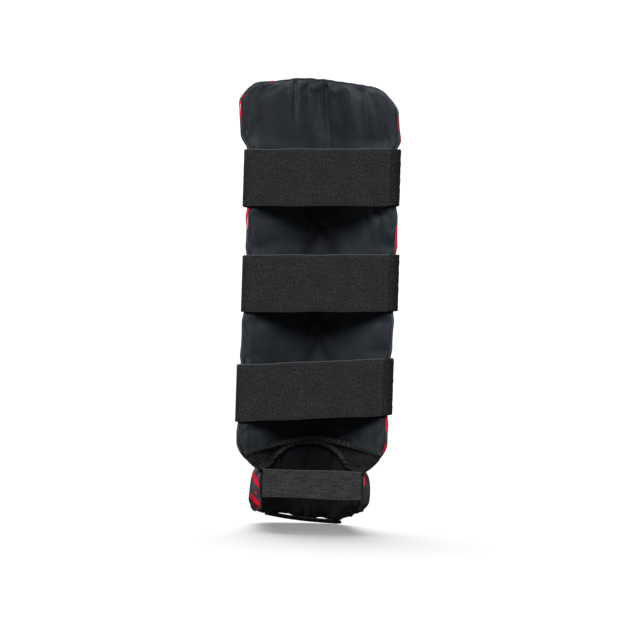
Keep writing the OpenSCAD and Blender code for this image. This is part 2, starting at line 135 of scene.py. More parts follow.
SHIN_BOTTOM, SHIN_HEIGHT, HALF_WIDTH = 59.0, 335.0, 65.0
HALF_HEIGHT = SHIN_HEIGHT / 2
SHIN_MIDDLE = SHIN_BOTTOM + HALF_HEIGHT
FLARE, FLARE_START, FLARE_RUN = 4.8, 334.0, 12.0
CHANNEL_DEPTH, SHIN_DEPTH, EDGE_DEPTH, INNER_INSET = 43.0, 59.0, 9.0, 4.0
DOME, ARCH = 5.0, 23.0
DIAGONAL = 1 - math.sqrt(0.5)


def row(points):
    """Design millimetres to the row frame's metres."""
    return (np.asarray(points, float) + TO_ROW) / 1000


def smooth(t):
    """3t^2 - 2t^3 with t held between 0 and 1."""
    c = np.clip(t, 0, 1)
    return c * c * (3 - 2 * c)


def unit(v):
    """A vector, or a grid of vectors, at length 1."""
    return v / np.maximum(np.linalg.norm(v, axis=-1, keepdims=True), 1e-9)


def hump(x, middle, width):
    """A bell of height 1: e to the minus squared distance over squared width."""
    return np.exp(-(((x - middle) / width) ** 2))


def corner_cut(radius, distance):
    """How far a rounded corner sets a border in: r - sqrt(r^2 - (r - d)^2), and 0 past r."""
    return radius - np.sqrt(np.maximum(0, radius**2 - np.clip(radius - distance, 0, radius) ** 2))


def ripple(x, waves):
    """A sum of sines, each given as wavelength, height and phase."""
    return sum(h * np.sin(2 * math.pi * x / w + p) for w, h, p in waves)


# ---- the shin pad's surfaces ----------------------------------------------------------------

LEAN_Z = (40, 78, 92, 125, 170, 218, 256, 310, 338, 364, 392)
LEAN_X = (-1.2, -1.5, -1.8, -0.8, -0.2, 1.3, 1.5, -0.2, -1.2, -4.2, -6.0)


def lean(points):
    """The soft pad isn't quite straight: it shifts sideways by a smooth curve of its height."""
    z = points[..., 2]
    near = sum(np.interp(z + d, LEAN_Z, LEAN_X) for d in (-9, -6, -3, 0, 3, 6, 9)) / 7
    out = points.copy()
    out[..., 0] += near
    return out


def pressed(x, z):
    """1 within 25 mm of a leg strap's middle and 0 past 34 mm, with a smooth run between."""
    near = [smooth((34 - np.abs(z - m - c * x)) / 9) for m, c in zip(STRAP_Z, CLIMBS)]
    return np.clip(sum(near), 0, 1)


def half_width(z, x=0.0):
    """Half of the pad's width: it widens above the top strap and swells between the straps."""
    flare = smooth((z - FLARE_START) / FLARE_RUN)
    free = (1 - pressed(x, z)) * (1 - flare)
    bulge = bpy.context.scene.guard_sizes.edge_bulge * 1000
    return HALF_WIDTH + FLARE * flare + bulge * free


def shin_corner(across, up):
    """The radius of the shin pad's rounded corner in each quarter."""
    return np.where(up < 0, np.where(across < 0, 20.0, 23.0), np.where(across < 0, 17.0, 22.0))


def shin_place(across, up):
    """Angle round the trough and height of a place: corners cut the rows and the columns."""
    radius = shin_corner(across, up)
    row_cut = corner_cut(radius, HALF_HEIGHT - np.abs(up) * (HALF_HEIGHT - DIAGONAL * radius))
    angle = across * np.arcsin(1 - row_cut / HALF_WIDTH)
    end = across * np.arcsin(1 - DIAGONAL * radius / HALF_WIDTH)
    column = HALF_HEIGHT - corner_cut(radius, HALF_WIDTH * (1 - np.abs(np.sin(end))))
    flat = SHIN_MIDDLE + up * column
    x = HALF_WIDTH * np.sin(angle)
    # the top edge falls by DOME 47 mm from the middle; the bottom edge arches up within 54 mm of
    # the middle, and the arch dies out 90 mm further up
    dome = -DOME * (x / 47) ** 2 * ((1 + up) / 2) ** 6
    arch = ARCH * np.maximum(0, 1 - (x / 54) ** 4)
    arch = arch * np.clip(1 - (flat - SHIN_BOTTOM) / 90, 0, None) ** 2
    # the top edge peaks a little to the left of the middle and sinks to the right
    top = np.clip((1 + up) / 2, 0, 1) ** 8
    peak = top * (1.9 * hump(x, -16, 15) + 0.9 * hump(x, 6, 9) - 0.8 * smooth((x - 20) / 30))
    return angle, flat + DOME / 2 + dome + arch + peak - DOME / 2 * (1 - up) / 2


def channel_xy(angle, z):
    """The trough: x is the half width times the sine, y the depth times a power of the cosine.

    The foam packs one side fuller: the power is 3.1 on the left and 2.5 on the right.
    """
    w = half_width(z, HALF_WIDTH * np.sin(angle)) - INNER_INSET
    power = 2.8 - 0.3 * np.tanh(np.sin(angle) * 3)
    return w * np.sin(angle), CHANNEL_DEPTH * np.maximum(0, np.cos(angle)) ** power


def front_xy(angle, z):
    """The front: x as the half width's sine, y the edge depth plus 50 times the cosine."""
    w = half_width(z, HALF_WIDTH * np.sin(angle))
    return w * np.sin(angle), EDGE_DEPTH + (SHIN_DEPTH - EDGE_DEPTH) * np.maximum(0, np.cos(angle))


def shin_faces(across, up):
    """The lining's and the cover's points, thinner towards the top and bottom ends."""
    angle, z = shin_place(across, up)
    inner = np.stack([*channel_xy(angle, z), z], -1)
    outer = np.stack([*front_xy(angle, z), z], -1)
    from_end = (1 - np.abs(up)) * HALF_HEIGHT
    full = 1 - 0.36 * np.maximum(0, 1 - from_end / 24) ** 2
    return inner, inner + (outer - inner) * full[..., None]


def front_point(angle, z, out):
    """A point off the shin's front face, at an angle in degrees, a height and a distance out."""
    a = np.radians(angle)
    x, y = front_xy(a, z)
    x2, y2 = front_xy(a + 0.008, z)
    along = unit(np.stack([x2 - x, y2 - y], -1))
    return np.stack([x - along[..., 1] * out, y + along[..., 0] * out, z + 0 * x], -1)


# ---- the instep pad's surfaces --------------------------------------------------------------

INSTEP_LENGTH, INSTEP_RADIUS, INSTEP_THICK = 110.0, 43.0, 11.0
SLOPE_ANKLE, SLOPE_TOE = math.radians(50), math.radians(24)
CURL, TOE_RADIUS = 28.0, 103.0
FLAP_ANGLE, FLAP_HALF, LEAST_ANGLE, FLAP_LENGTH = 131.0, 80.0, 5.0, 52.0
TOE_CORNER, FLAP_CORNER, TOE_HALF = 34.0, 9.0, 44.0
BEND = (SLOPE_ANKLE - SLOPE_TOE) / INSTEP_LENGTH
CROWN_Y, CROWN_Z = 49.0, 73.0
HANG_PIVOT = np.array([0.0, 30.0, 73.0])


def hang(points):
    """Rolls by half a degree and turns by five degrees under the shin pad."""
    roll, turn = math.radians(0.5), math.radians(5)
    q = np.asarray(points, float) - HANG_PIVOT
    x = q[..., 0] * math.cos(roll) + q[..., 2] * math.sin(roll)
    z = q[..., 2] * math.cos(roll) - q[..., 0] * math.sin(roll)
    turned = [
        x * math.cos(turn) - q[..., 1] * math.sin(turn) - 1.5,
        x * math.sin(turn) + q[..., 1] * math.cos(turn),
        z,
    ]
    return np.stack(turned, -1) + HANG_PIVOT


def section_radius(along):
    """The section's radius: it grows towards the toes by the power 3.5 of the way."""
    return INSTEP_RADIUS + (TOE_RADIUS - INSTEP_RADIUS) * np.clip(along / INSTEP_LENGTH, 0, None) ** 3.5


def instep_at(along, angle, out):
    """A point of the instep: a bent crown line carries a round section whose flaps curl in."""
    r = section_radius(along)
    a = np.radians(np.abs(angle))
    side = np.sign(angle)
    past = a > math.pi / 2
    x = np.where(past, side * (r - CURL + (CURL + out) * np.sin(a)), side * (r + out) * np.sin(a))
    down = np.where(past, r - (CURL + out) * np.cos(a), r - (r + out) * np.cos(a))
    slope = SLOPE_ANKLE - BEND * along
    y = CROWN_Y + (math.sin(SLOPE_ANKLE) - np.sin(slope)) / BEND
    z = CROWN_Z + (math.cos(SLOPE_ANKLE) - np.cos(slope)) / BEND
    return hang(np.stack([x, y - down * np.sin(slope), z - down * np.cos(slope)], -1))


def reach(along):
    """How far round the section the flaps reach, less and less towards the toes."""
    return LEAST_ANGLE + (FLAP_ANGLE - LEAST_ANGLE) / (1 + (np.maximum(0, along) / FLAP_LENGTH) ** 2)


def rear_along(angle):
    """How far along the crown the rear edge lies, by the angle round the section."""
    a = np.abs(angle)
    return 3 * smooth(a / 50) - 3 * smooth((a - 60) / 30) + 16 * smooth((a - 88) / 40)


def ankle_end(across):
    """Where the pad starts along the crown: its rear edge and the flaps' corners."""
    from_side = FLAP_HALF - np.abs(across) * (FLAP_HALF - DIAGONAL * FLAP_CORNER)
    return rear_along(across * FLAP_ANGLE) + corner_cut(FLAP_CORNER, from_side)


def instep_place(across, ahead):
    """Distance along the crown and angle of a place, with the four rounded corners."""
    toe = INSTEP_LENGTH - corner_cut(
        TOE_CORNER, TOE_HALF - np.abs(across) * (TOE_HALF - DIAGONAL * TOE_CORNER)
    )
    along = ankle_end(across) * (1 - ahead) + toe * ahead
    one = np.ones_like(across)
    toe_one = INSTEP_LENGTH - corner_cut(TOE_CORNER, TOE_HALF - one * (TOE_HALF - DIAGONAL * TOE_CORNER))
    side = ankle_end(one) * (1 - ahead) + toe_one * ahead
    flap_in = corner_cut(FLAP_CORNER, side - ankle_end(one) + DIAGONAL * FLAP_CORNER) / FLAP_HALF
    toe_in = corner_cut(TOE_CORNER, INSTEP_LENGTH - side) / TOE_HALF
    return along, across * reach(side) * (1 - toe_in) * (1 - flap_in)


def instep_faces(across, up):
    """The instep's lining and cover points; up runs from the toes to the ankle."""
    ahead = (1 - up) / 2
    along, angle = instep_place(across, ahead)
    full = 1 - 0.3 * np.abs(across) ** 8 - 0.35 * np.abs(2 * ahead - 1) ** 14
    return instep_at(along, angle, 0 * along), instep_at(along, angle, INSTEP_THICK * full)


# ---- meshes ---------------------------------------------------------------------------------


def grid_faces(rows, cols, wrap=False, start=0):
    """Quads of a grid of points, row by row; wrap joins the last column to the first."""
    j, i = np.meshgrid(np.arange(rows - 1), np.arange(cols if wrap else cols - 1), indexing="ij")
    i2 = (i + 1) % cols
    quads = np.stack([j * cols + i, j * cols + i2, (j + 1) * cols + i2, (j + 1) * cols + i], -1)
    return quads.reshape(-1, 4) + start


def make_mesh(name, points, faces, uv=None, stroke_paint_and_fold_light=None):
    """A mesh object at the origin from millimetre points, with a UV pair for each point."""
    mesh = bpy.data.meshes.new(name)
    mesh.from_pydata(row(points).tolist(), [], [list(map(int, f)) for f in faces])
    mesh.validate()
    mesh.polygons.foreach_set("use_smooth", np.ones(len(mesh.polygons), bool))
    if uv is not None:
        corner = np.zeros(len(mesh.loops), int)
        mesh.loops.foreach_get("vertex_index", corner)
        layer = mesh.uv_layers.new(name="UVMap")
        layer.data.foreach_set("uv", np.asarray(uv, float)[corner].ravel().astype(np.float32))
    if stroke_paint_and_fold_light is not None:
        layer = mesh.attributes.new("stroke_paint_and_fold_light", "FLOAT", "POINT")
        layer.data.foreach_set("value", np.asarray(stroke_paint_and_fold_light, np.float32))
    obj = bpy.data.objects.new(name, mesh)
    bpy.context.scene.collection.objects.link(obj)
    return obj


def clothe(obj, finish):
    """Gives a piece its finish."""
    obj.data.materials.append(material_named(finish))
    return obj


def thicken(obj, thickness, offset=-1):
    """A closed skin of that thickness, in metres, under the surface."""
    wall = obj.modifiers.new("Skin", "SOLIDIFY")
    wall.thickness = thickness
    wall.offset = offset
    return obj


def smoother(line, times=1, closed=False):
    """A polyline with each point drawn halfway to the mean of its two neighbours."""
    for _ in range(times):
        mean = (np.roll(line, 1, 0) + np.roll(line, -1, 0)) / 2
        moved = (line + mean) / 2
        if not closed:
            moved[0], moved[-1] = line[0], line[-1]
        line = moved
    return line


def even(line, step, closed=False):
    """A polyline resampled at an even step along its length."""
    if closed:
        line = np.vstack([line, line[:1]])
    at = np.concatenate([[0], np.cumsum(np.linalg.norm(np.diff(line, axis=0), axis=1))])
    count = max(2, int(round(at[-1] / step)))
    to = np.linspace(0, at[-1], count + 1)
    out = np.stack([np.interp(to, at, line[:, k]) for k in range(line.shape[1])], -1)
    return out[:-1] if closed else out


def tube(loop, radius, sides=10):
    """A closed tube: each point of the loop carries a ring in the plane across it."""
    ahead = unit(np.roll(loop, -1, 0) - np.roll(loop, 1, 0))
    hint = np.where(np.abs(ahead[:, 1:2]) < 0.9, [[0, 1.0, 0]], [[1.0, 0, 0]])
    side = unit(np.cross(ahead, hint))
    up = np.cross(side, ahead)
    a = np.linspace(0, 2 * math.pi, sides, endpoint=False)[None, :, None]
    rings = loop[:, None] + radius * (np.cos(a) * side[:, None] + np.sin(a) * up[:, None])
    n = len(loop)
    faces = grid_faces(n + 1, sides, True) % (n * sides)
    return rings.reshape(-1, 3), faces


def stitches(centres, ahead, out, length, radius):
    """Rows of thread: each stitch is a rounded rod that dips into the cloth at both ends."""
    t = np.array([-1, -0.75, 0, 0.75, 1.0])
    fat = np.array([0.25, 0.8, 1, 0.8, 0.25])
    a = np.linspace(0, 2 * math.pi, 6, endpoint=False)
    side = np.cross(ahead, out)
    spine = centres[:, None] + ahead[:, None] * (t * length / 2)[:, None]
    spine = spine + out[:, None] * ((1 - t**2) * radius * 0.9 - radius * 0.3)[:, None]
    ring = np.cos(a)[:, None] * side[:, None, None] + np.sin(a)[:, None] * out[:, None, None]
    points = spine[:, :, None] + ring * (radius * fat)[None, :, None, None]
    count = len(centres)
    body = (grid_faces(5, 6, True)[None] + np.arange(count)[:, None, None] * 30).reshape(-1, 4)
    low = np.arange(6)[::-1][None] + np.arange(count)[:, None] * 30
    high = np.arange(24, 30)[None] + np.arange(count)[:, None] * 30
    return points.reshape(-1, 3), [*body.tolist(), *low.tolist(), *high.tolist()]


def stitch_row(line, out, length=None, gap=1.3, radius=0.33, closed=False):
    """Stitches along a line of points; out is the cloth's outward direction at each point."""
    size = length or bpy.context.scene.guard_sizes.stitch * 1000
    both = even(np.hstack([line, out]), size + gap, closed)
    centres, normals = both[:, :3], unit(both[:, 3:])
    ahead = np.roll(centres, -1, 0) - np.roll(centres, 1, 0)
    if not closed:
        ahead[0], ahead[-1] = centres[1] - centres[0], centres[-1] - centres[-2]
    return stitches(centres, unit(ahead), normals, size, radius)


def joined(parts):
    """Several (points, faces) pairs as one."""
    points, faces, start = [], [], 0
    for p, f in parts:
        points.append(p)
        faces.extend([[int(k) + start for k in face] for face in f])
        start += len(p)
    return np.vstack(points), faces


def sewn_rows(name, rows):
    """One piece of sewing thread from several rows of stitches."""
    return clothe(make_mesh(name, *joined(rows)), "thread")


def web(path, middle_z, width, thick, climb, z_steps=10):
    """A flat band: the plan path carries an upright rounded strip, sheared by the climb.

    The strip's outline goes up the outer face, round the top, down the inner face and round
    the bottom. Returns its points, faces and a UV pair for each point: metres along and up.
    """
    path = np.asarray(path, float)
    d = np.gradient(path, axis=0)
    normal = unit(np.stack([d[:, 1], -d[:, 0]], -1))
    at = np.concatenate([[0], np.cumsum(np.linalg.norm(np.diff(path, axis=0), axis=1))])
    r = thick / 2
    flat = np.linspace(-width / 2 + r, width / 2 - r, z_steps)
    turn = np.radians([0, 30, 60, 90, 120, 150, 180])
    outline = np.vstack([
        np.stack([np.full(z_steps, r), flat], -1),
        np.stack([r * np.cos(turn[1:-1]), width / 2 - r + r * np.sin(turn[1:-1])], -1),
        np.stack([np.full(z_steps, -r), flat[::-1]], -1),
        np.stack([-r * np.cos(turn[1:-1]), -width / 2 + r - r * np.sin(turn[1:-1])], -1),
    ])
    m = len(outline)
    xy = path[:, None] + normal[:, None] * outline[None, :, 0:1]
    z = middle_z + outline[None, :, 1] + climb * path[:, None, 0]
    points = np.concatenate([xy, z[..., None]], -1)
    along = np.repeat(at[:, None], m, 1)
    up = np.repeat(outline[None, :, 1], len(path), 0)
    faces = grid_faces(len(path), m, True)
    first, last = np.arange(m)[::-1], np.arange(m) + (len(path) - 1) * m
    uv = np.stack([along, up], -1).reshape(-1, 2) / 1000
    return points.reshape(-1, 3), [*faces.tolist(), first.tolist(), last.tolist()], uv


# ---- soft pads ------------------------------------------------------------------------------


def border(field):
    """The values round a grid's border: along the bottom, up the right, back and down."""
    return np.concatenate([field[0, :-1], field[:-1, -1], field[-1, :0:-1], field[:0:-1, 0]])


def border_index(rows, cols):
    """The point numbers round a grid's border."""
    return border(np.arange(rows * cols).reshape(rows, cols))


def stretched(field, count, axis):
    """A grid of values resampled on one axis by a cubic through its neighbours."""
    field = np.moveaxis(field, axis, 0)
    n = len(field)
    t = np.linspace(0, n - 1, count)
    k = np.minimum(t.astype(int), n - 2)
    f = (t - k).reshape(-1, *[1] * (field.ndim - 1))
    p = [field[np.clip(k + d, 0, n - 1)] for d in (-1, 0, 1, 2)]
    out = p[1] + 0.5 * f * (
        p[2] - p[0] + f * (2 * p[0] - 5 * p[1] + 4 * p[2] - p[3] + f * (3 * (p[1] - p[2]) + p[3] - p[0]))
    )
    return np.moveaxis(out, 0, axis)


def pad_grid(faces_at, rows, cols):
    """The across and up values of a pad's grid and its two faces, closer set at the ends."""
    t = np.linspace(-1, 1, rows)
    up = np.sin(t * math.pi / 2) * 0.3 + t * 0.7
    across, up = np.meshgrid(np.linspace(-1, 1, cols), up)
    inner, outer = faces_at(across, up)
    return across, up, inner, outer


def edge_distance(points):
    """Shortest way from each point of a grid to the grid's border, along rows or columns."""

    def ends(p, axis):
        step = np.linalg.norm(np.diff(p, axis=axis), axis=-1)
        zero = np.zeros_like(np.take(step, [0], axis))
        run = np.cumsum(np.concatenate([zero, step], axis), axis)
        return np.minimum(run, np.take(run, [-1], axis) - run)

    return np.minimum(ends(points, 0), ends(points, 1))


def pillow(inner, outer, edge_rows):
    """Rounds a pad's border: both faces fall towards its middle, and the edge bulges out."""
    drop = bpy.context.scene.guard_sizes.pillow * 1000
    through = outer - inner
    way = unit(through)
    fall = drop * np.maximum(0, 1 - edge_distance(inner) / 9) ** 2
    inner = inner + way * fall[..., None]
    outer = outer - way * (0.8 * fall)[..., None]
    low, high = border(inner), border(outer)
    ahead = unit(np.roll(low, -1, 0) - np.roll(low, 1, 0))
    aside = unit(np.cross(high - low, ahead)) * 1.9
    t = np.linspace(0, 1, edge_rows)[1:-1, None, None]
    rings = low * (1 - t) + high * t + aside * np.sqrt(np.maximum(0, 4 * t * (1 - t)))
    return inner, outer, rings


def strips(lines):
    """Quads between each closed line of point numbers and the next."""
    pairs = zip(lines, lines[1:])
    return [np.stack([a, b, np.roll(b, -1), np.roll(a, -1)], -1) for a, b in pairs]


def shell_faces(rows, cols, rings):
    """Faces of a closed pad: the lining grid, its edge rings and the cover grid."""
    n = rows * cols
    loop = border_index(rows, cols)
    m = len(loop)
    inner = grid_faces(rows, cols)
    outer = grid_faces(rows, cols, start=n)[:, ::-1]
    lines = [loop, *[2 * n + k * m + np.arange(m) for k in range(rings)], loop + n]
    return inner, outer, np.vstack(strips(lines))


def ironed(field, times):
    """A grid averaged with its neighbours both ways, for leather too stiff to crease finely."""
    out = field.copy()
    for _ in range(times):
        out[1:-1] = (out[:-2] + 2 * out[1:-1] + out[2:]) / 4
        out[:, 1:-1] = (out[:, :-2] + 2 * out[:, 1:-1] + out[:, 2:]) / 4
    return out


def swell(name, faces_at, rows, cols, pins, cap):
    """Cloth simulation of a pad: pressure pushes its cloth out between the pinned seams.

    Returns how far each point of the two faces and the edge rings moved, in millimetres.
    """
    inner, outer, rings = pillow(*pad_grid(faces_at, rows, cols)[2:], 5)
    points = np.vstack([inner.reshape(-1, 3), outer.reshape(-1, 3), rings.reshape(-1, 3)])
    faces = np.vstack(shell_faces(rows, cols, 3))
    obj = make_mesh(name + "_pattern", points, faces)
    ring = 2 * rows * cols + np.arange(3 * len(border_index(rows, cols)))
    weight = np.zeros(len(points))
    weight[ring] = 0.6
    weight[ring[len(ring) // 3 : 2 * len(ring) // 3]] = 1.0
    weight[: 2 * rows * cols] = pins(points[: 2 * rows * cols])
    group = obj.vertex_groups.new(name="seams")
    for k in np.flatnonzero(weight > 0):
        group.add([int(k)], float(weight[k]), "ADD")
    cloth = obj.modifiers.new("Cloth", "CLOTH")
    s = cloth.settings
    s.quality, s.mass = 5, 0.3
    s.tension_stiffness = s.compression_stiffness = 15
    s.shear_stiffness, s.bending_stiffness = 5, 1.5
    s.use_pressure, s.uniform_pressure_force = True, 4
    s.shrink_min = -0.012
    s.vertex_group_mass = "seams"
    s.effector_weights.gravity = 0
    cloth.point_cache.frame_start, cloth.point_cache.frame_end = 1, 20
    scene = bpy.context.scene
    for step in range(1, 21):
        scene.frame_set(step)
    shaped = obj.evaluated_get(bpy.context.evaluated_depsgraph_get())
    out = np.zeros(len(points) * 3)
    shaped.data.vertices.foreach_get("co", out)
    moved = out.reshape(-1, 3) * 1000 - TO_ROW - points
    scene.frame_set(1)
    bpy.data.objects.remove(obj)
    size = np.linalg.norm(moved, axis=1, keepdims=True)
    moved *= np.tanh(size / cap) * cap / np.maximum(size, 1e-6)
    n = rows * cols
    return [
        moved[:n].reshape(rows, cols, 3),
        ironed(moved[n : 2 * n].reshape(rows, cols, 3), 3),
        moved[2 * n :].reshape(3, -1, 3),
    ]


def fine_pad(faces_at, moved, rows, cols, edge_rows, pleat):
    """The finished pad: its fine surfaces, moved as the simulated cloth moved, with pleats."""
    across, up, inner, outer = pad_grid(faces_at, rows, cols)
    inner, outer, rings = pillow(inner, outer, edge_rows)
    m_in = stretched(stretched(moved[0], rows, 0), cols, 1)
    m_out = stretched(stretched(moved[1], rows, 0), cols, 1)
    inner, outer = inner + m_in, outer + m_out
    t = np.linspace(0, 1, edge_rows)[1:-1, None, None]
    rings = rings + border(m_in) * (1 - t) + border(m_out) * t
    du, dv = np.gradient(inner, axis=1), np.gradient(inner, axis=0)
    normal = unit(np.cross(du, dv))
    inner = inner + normal * pleat(across, up, inner, edge_distance(inner))[..., None]
    return inner, outer, rings


def split_pad(name, inner, outer, rings, seam, paint_at):
    """Two skins that meet at the seam: the lining with its part of the edge, and the cover."""
    rows, cols = inner.shape[:2]
    loop = border_index(rows, cols)
    m, n = len(loop), rows * cols
    back_points = np.vstack([inner.reshape(-1, 3), rings[:seam].reshape(-1, 3)])
    lines = [loop, *[n + k * m + np.arange(m) for k in range(seam)]]
    back_faces = np.vstack([grid_faces(rows, cols), *strips(lines)])
    front_points = np.vstack([outer.reshape(-1, 3), rings[seam - 1 :].reshape(-1, 3)])
    lines = [*[n + k * m + np.arange(m) for k in range(len(rings) - seam + 1)], loop]
    front_faces = np.vstack([grid_faces(rows, cols)[:, ::-1], *strips(lines)])
    back = make_mesh(name + "_back", back_points, back_faces)
    stroke_paint_and_fold_light, place = paint_at(front_points)
    front = make_mesh(name + "_front", front_points, front_faces, uv=place, stroke_paint_and_fold_light=stroke_paint_and_fold_light)
    return back, front, rings[seam - 1]


# ---- materials ------------------------------------------------------------------------------


def new_material(name):
    """An empty node material with its output's tree and shader."""
    material = bpy.data.materials.new(name)
    material.use_nodes = True
    return material, material.node_tree, material.node_tree.nodes["Principled BSDF"]


def wire(tree, node, inputs):
    """Sets each of a node's inputs to its value, or links it where the value is a socket."""
    for key, value in inputs.items():
        if isinstance(value, bpy.types.NodeSocket):
            tree.links.new(value, node.inputs[key])
        else:
            node.inputs[key].default_value = value


def add(tree, kind, inputs=None, out=0, **settings):
    """Adds a node with its settings, wires its inputs, and returns the output asked for."""
    node = tree.nodes.new(kind)
    for key, value in settings.items():
        setattr(node, key, value)
    wire(tree, node, inputs or {})
    return node.outputs[out] if node.outputs else None


def per(mm):
    """The scale that gives a pattern one repeat in that many millimetres."""
    return 1000.0 / mm


def waves(mm):
    """The wave texture's scale for one wave in that many millimetres: it turns 20 rad per unit."""
    return per(mm) * math.pi / 10


def grey(value):
    """A grey of that linear value, with alpha 1."""
    return (value, value, value, 1)


def scaled(colour, factor):
    """A colour made lighter or darker by a factor, with alpha 1."""
    return tuple(c * factor for c in colour[:3]) + (1,)


# settings of a node that mixes or multiplies two colours, inputs 6 and 7, by input 0
MIX = {"out": 2, "data_type": "RGBA"}
TIMES = {"out": 2, "data_type": "RGBA", "blend_type": "MULTIPLY"}
# settings of a wave that runs along X or Y
BANDS_X = {"out": "Fac", "wave_type": "BANDS", "bands_direction": "X"}
BANDS_Y = {"out": "Fac", "wave_type": "BANDS", "bands_direction": "Y"}


def nylon_lining(colours):
    """Nylon taffeta, calendered: a close plain weave with a soft sheen and cloudy folds."""
    material, tree, shader = new_material("nylon_taffeta_lining")
    at = add(tree, "ShaderNodeTexCoord", out="Object")
    # threads every 1.1 mm, drawn coarser than the cloth's 0.2 mm so that they show
    weave = {"Vector": at, "Scale": waves(1.1), "Distortion": 0.6}
    flecks = add(tree, "ShaderNodeTexNoise", {"Vector": at, "Scale": per(1.6), "Detail": 3.0})
    warp = add(tree, "ShaderNodeTexWave", weave, **BANDS_X)
    weft = add(tree, "ShaderNodeTexWave", weave, **BANDS_Y)
    relief = add(tree, "ShaderNodeMath", {0: warp, 1: weft}, operation="MULTIPLY")
    clouds = add(tree, "ShaderNodeTexNoise", {"Vector": at, "Scale": per(34), "Detail": 2.0})
    cloudy = add(tree, "ShaderNodeMapRange", {0: clouds, 1: 0.3, 2: 0.7})
    tone = add(tree, "ShaderNodeMix", {0: cloudy, 6: scaled(colours.lining, 0.62), 7: colours.lining}, **MIX)
    mixed = add(tree, "ShaderNodeMapRange", {0: flecks, 1: 0.35, 2: 0.65})
    grain = add(tree, "ShaderNodeMix", {0: mixed, 6: grey(0.8), 7: grey(1.2)}, **MIX)
    tone = add(tree, "ShaderNodeMix", {0: 1.0, 6: tone, 7: grain}, **TIMES)
    # painted shade: the middle, 36 mm wide, is darkened to 0.68 of the cloth's colour as the deep trough's
    # shade; both sides keep the cloth's colour
    x = add(tree, "ShaderNodeSeparateXYZ", {0: at}, out="X")
    drift = add(tree, "ShaderNodeMath", {0: clouds, 1: 0.012, 2: x}, operation="MULTIPLY_ADD")
    centred = add(tree, "ShaderNodeMath", {0: drift, 1: -0.009}, operation="ADD")
    aside = add(tree, "ShaderNodeMath", {0: centred}, operation="ABSOLUTE")
    shaded_middle = add(tree, "ShaderNodeMapRange", {0: aside, 1: 0.022, 2: 0.014})
    middle_shade = add(tree, "ShaderNodeMix", {0: 1.0, 6: tone, 7: (0.68, 0.68, 0.7, 1)}, **TIMES)
    tone = add(tree, "ShaderNodeMix", {0: shaded_middle, 6: tone, 7: middle_shade}, **MIX)
    # specks of lint of about 0.5 mm, some 40 mm apart
    spots = add(tree, "ShaderNodeTexVoronoi", {"Vector": at, "Scale": per(40)}, feature="F1")
    lint = add(tree, "ShaderNodeMapRange", {0: spots, 1: 0.018, 2: 0.012})
    wire(tree, shader, {
        "Base Color": add(tree, "ShaderNodeMix", {0: lint, 6: tone, 7: linear("#8d9299")}, **MIX),
        "Roughness": add(tree, "ShaderNodeMapRange", {0: clouds, 1: 0.3, 2: 0.7, 3: 0.62, 4: 0.74}),
        "Specular IOR Level": 0.2,
        "Sheen Weight": 0.05,
        "Sheen Roughness": 0.5,
        "Normal": add(tree, "ShaderNodeBump", {"Height": relief, "Strength": 0.25, "Distance": 0.00015}),
    })
    return material


def leather_cover(colours):
    """PU synthetic leather, embossed: a fine pebble grain, satin, with painted brush strokes."""
    material, tree, shader = new_material("embossed_pu_leather")
    at = add(tree, "ShaderNodeTexCoord", out="Object")
    # pebbles of 1.1 mm, and wear in patches of 9 mm
    pebbles = add(tree, "ShaderNodeTexVoronoi", {"Vector": at, "Scale": per(1.1)}, feature="SMOOTH_F1")
    dust = add(tree, "ShaderNodeTexNoise", {"Vector": at, "Scale": per(9), "Detail": 4.0})
    rubbed = add(tree, "ShaderNodeMapRange", {0: dust, 1: 0.4, 2: 0.75})
    worn = add(tree, "ShaderNodeMix", {0: rubbed, 6: colours.cover, 7: scaled(colours.cover, 1.6)}, **MIX)
    # dry bristles leave streaks of 1.6 mm, drawn out along each stroke
    stroke = add(tree, "ShaderNodeUVMap", out="UV", uv_map="UVMap")
    drawn = add(tree, "ShaderNodeMapping", {"Vector": stroke, "Scale": (0.07, 1.0, 1.0)})
    bristles = add(tree, "ShaderNodeTexNoise", {"Vector": drawn, "Scale": per(1.6), "Detail": 3.0})
    stroke_paint_and_fold_light = add(tree, "ShaderNodeAttribute", out="Fac", attribute_name="stroke_paint_and_fold_light")
    ragged = add(tree, "ShaderNodeMath", {0: bristles, 1: 0.9, 2: stroke_paint_and_fold_light}, operation="MULTIPLY_ADD")
    covered = add(tree, "ShaderNodeMapRange", {0: ragged, 1: 0.92, 2: 0.97})
    # painted highlights: a few near-white flecks in the stroke paint, 2.6 mm wide and drawn out like the
    # streaks
    highlight_noise = add(tree, "ShaderNodeTexNoise", {"Vector": drawn, "Scale": per(2.6), "Detail": 1.0})
    painted_highlight = add(tree, "ShaderNodeMapRange", {0: highlight_noise, 1: 0.69, 2: 0.71})
    painted = add(tree, "ShaderNodeMix", {0: painted_highlight, 6: colours.stroke, 7: linear("#f4e6e8")}, **MIX)
    wire(tree, shader, {
        "Base Color": add(tree, "ShaderNodeMix", {0: covered, 6: worn, 7: painted}, **MIX),
        "Roughness": 0.52,
        "Specular IOR Level": 0.35,
        "Normal": add(tree, "ShaderNodeBump", {"Height": pebbles, "Strength": 0.35, "Distance": 0.0003}),
    })
    return material


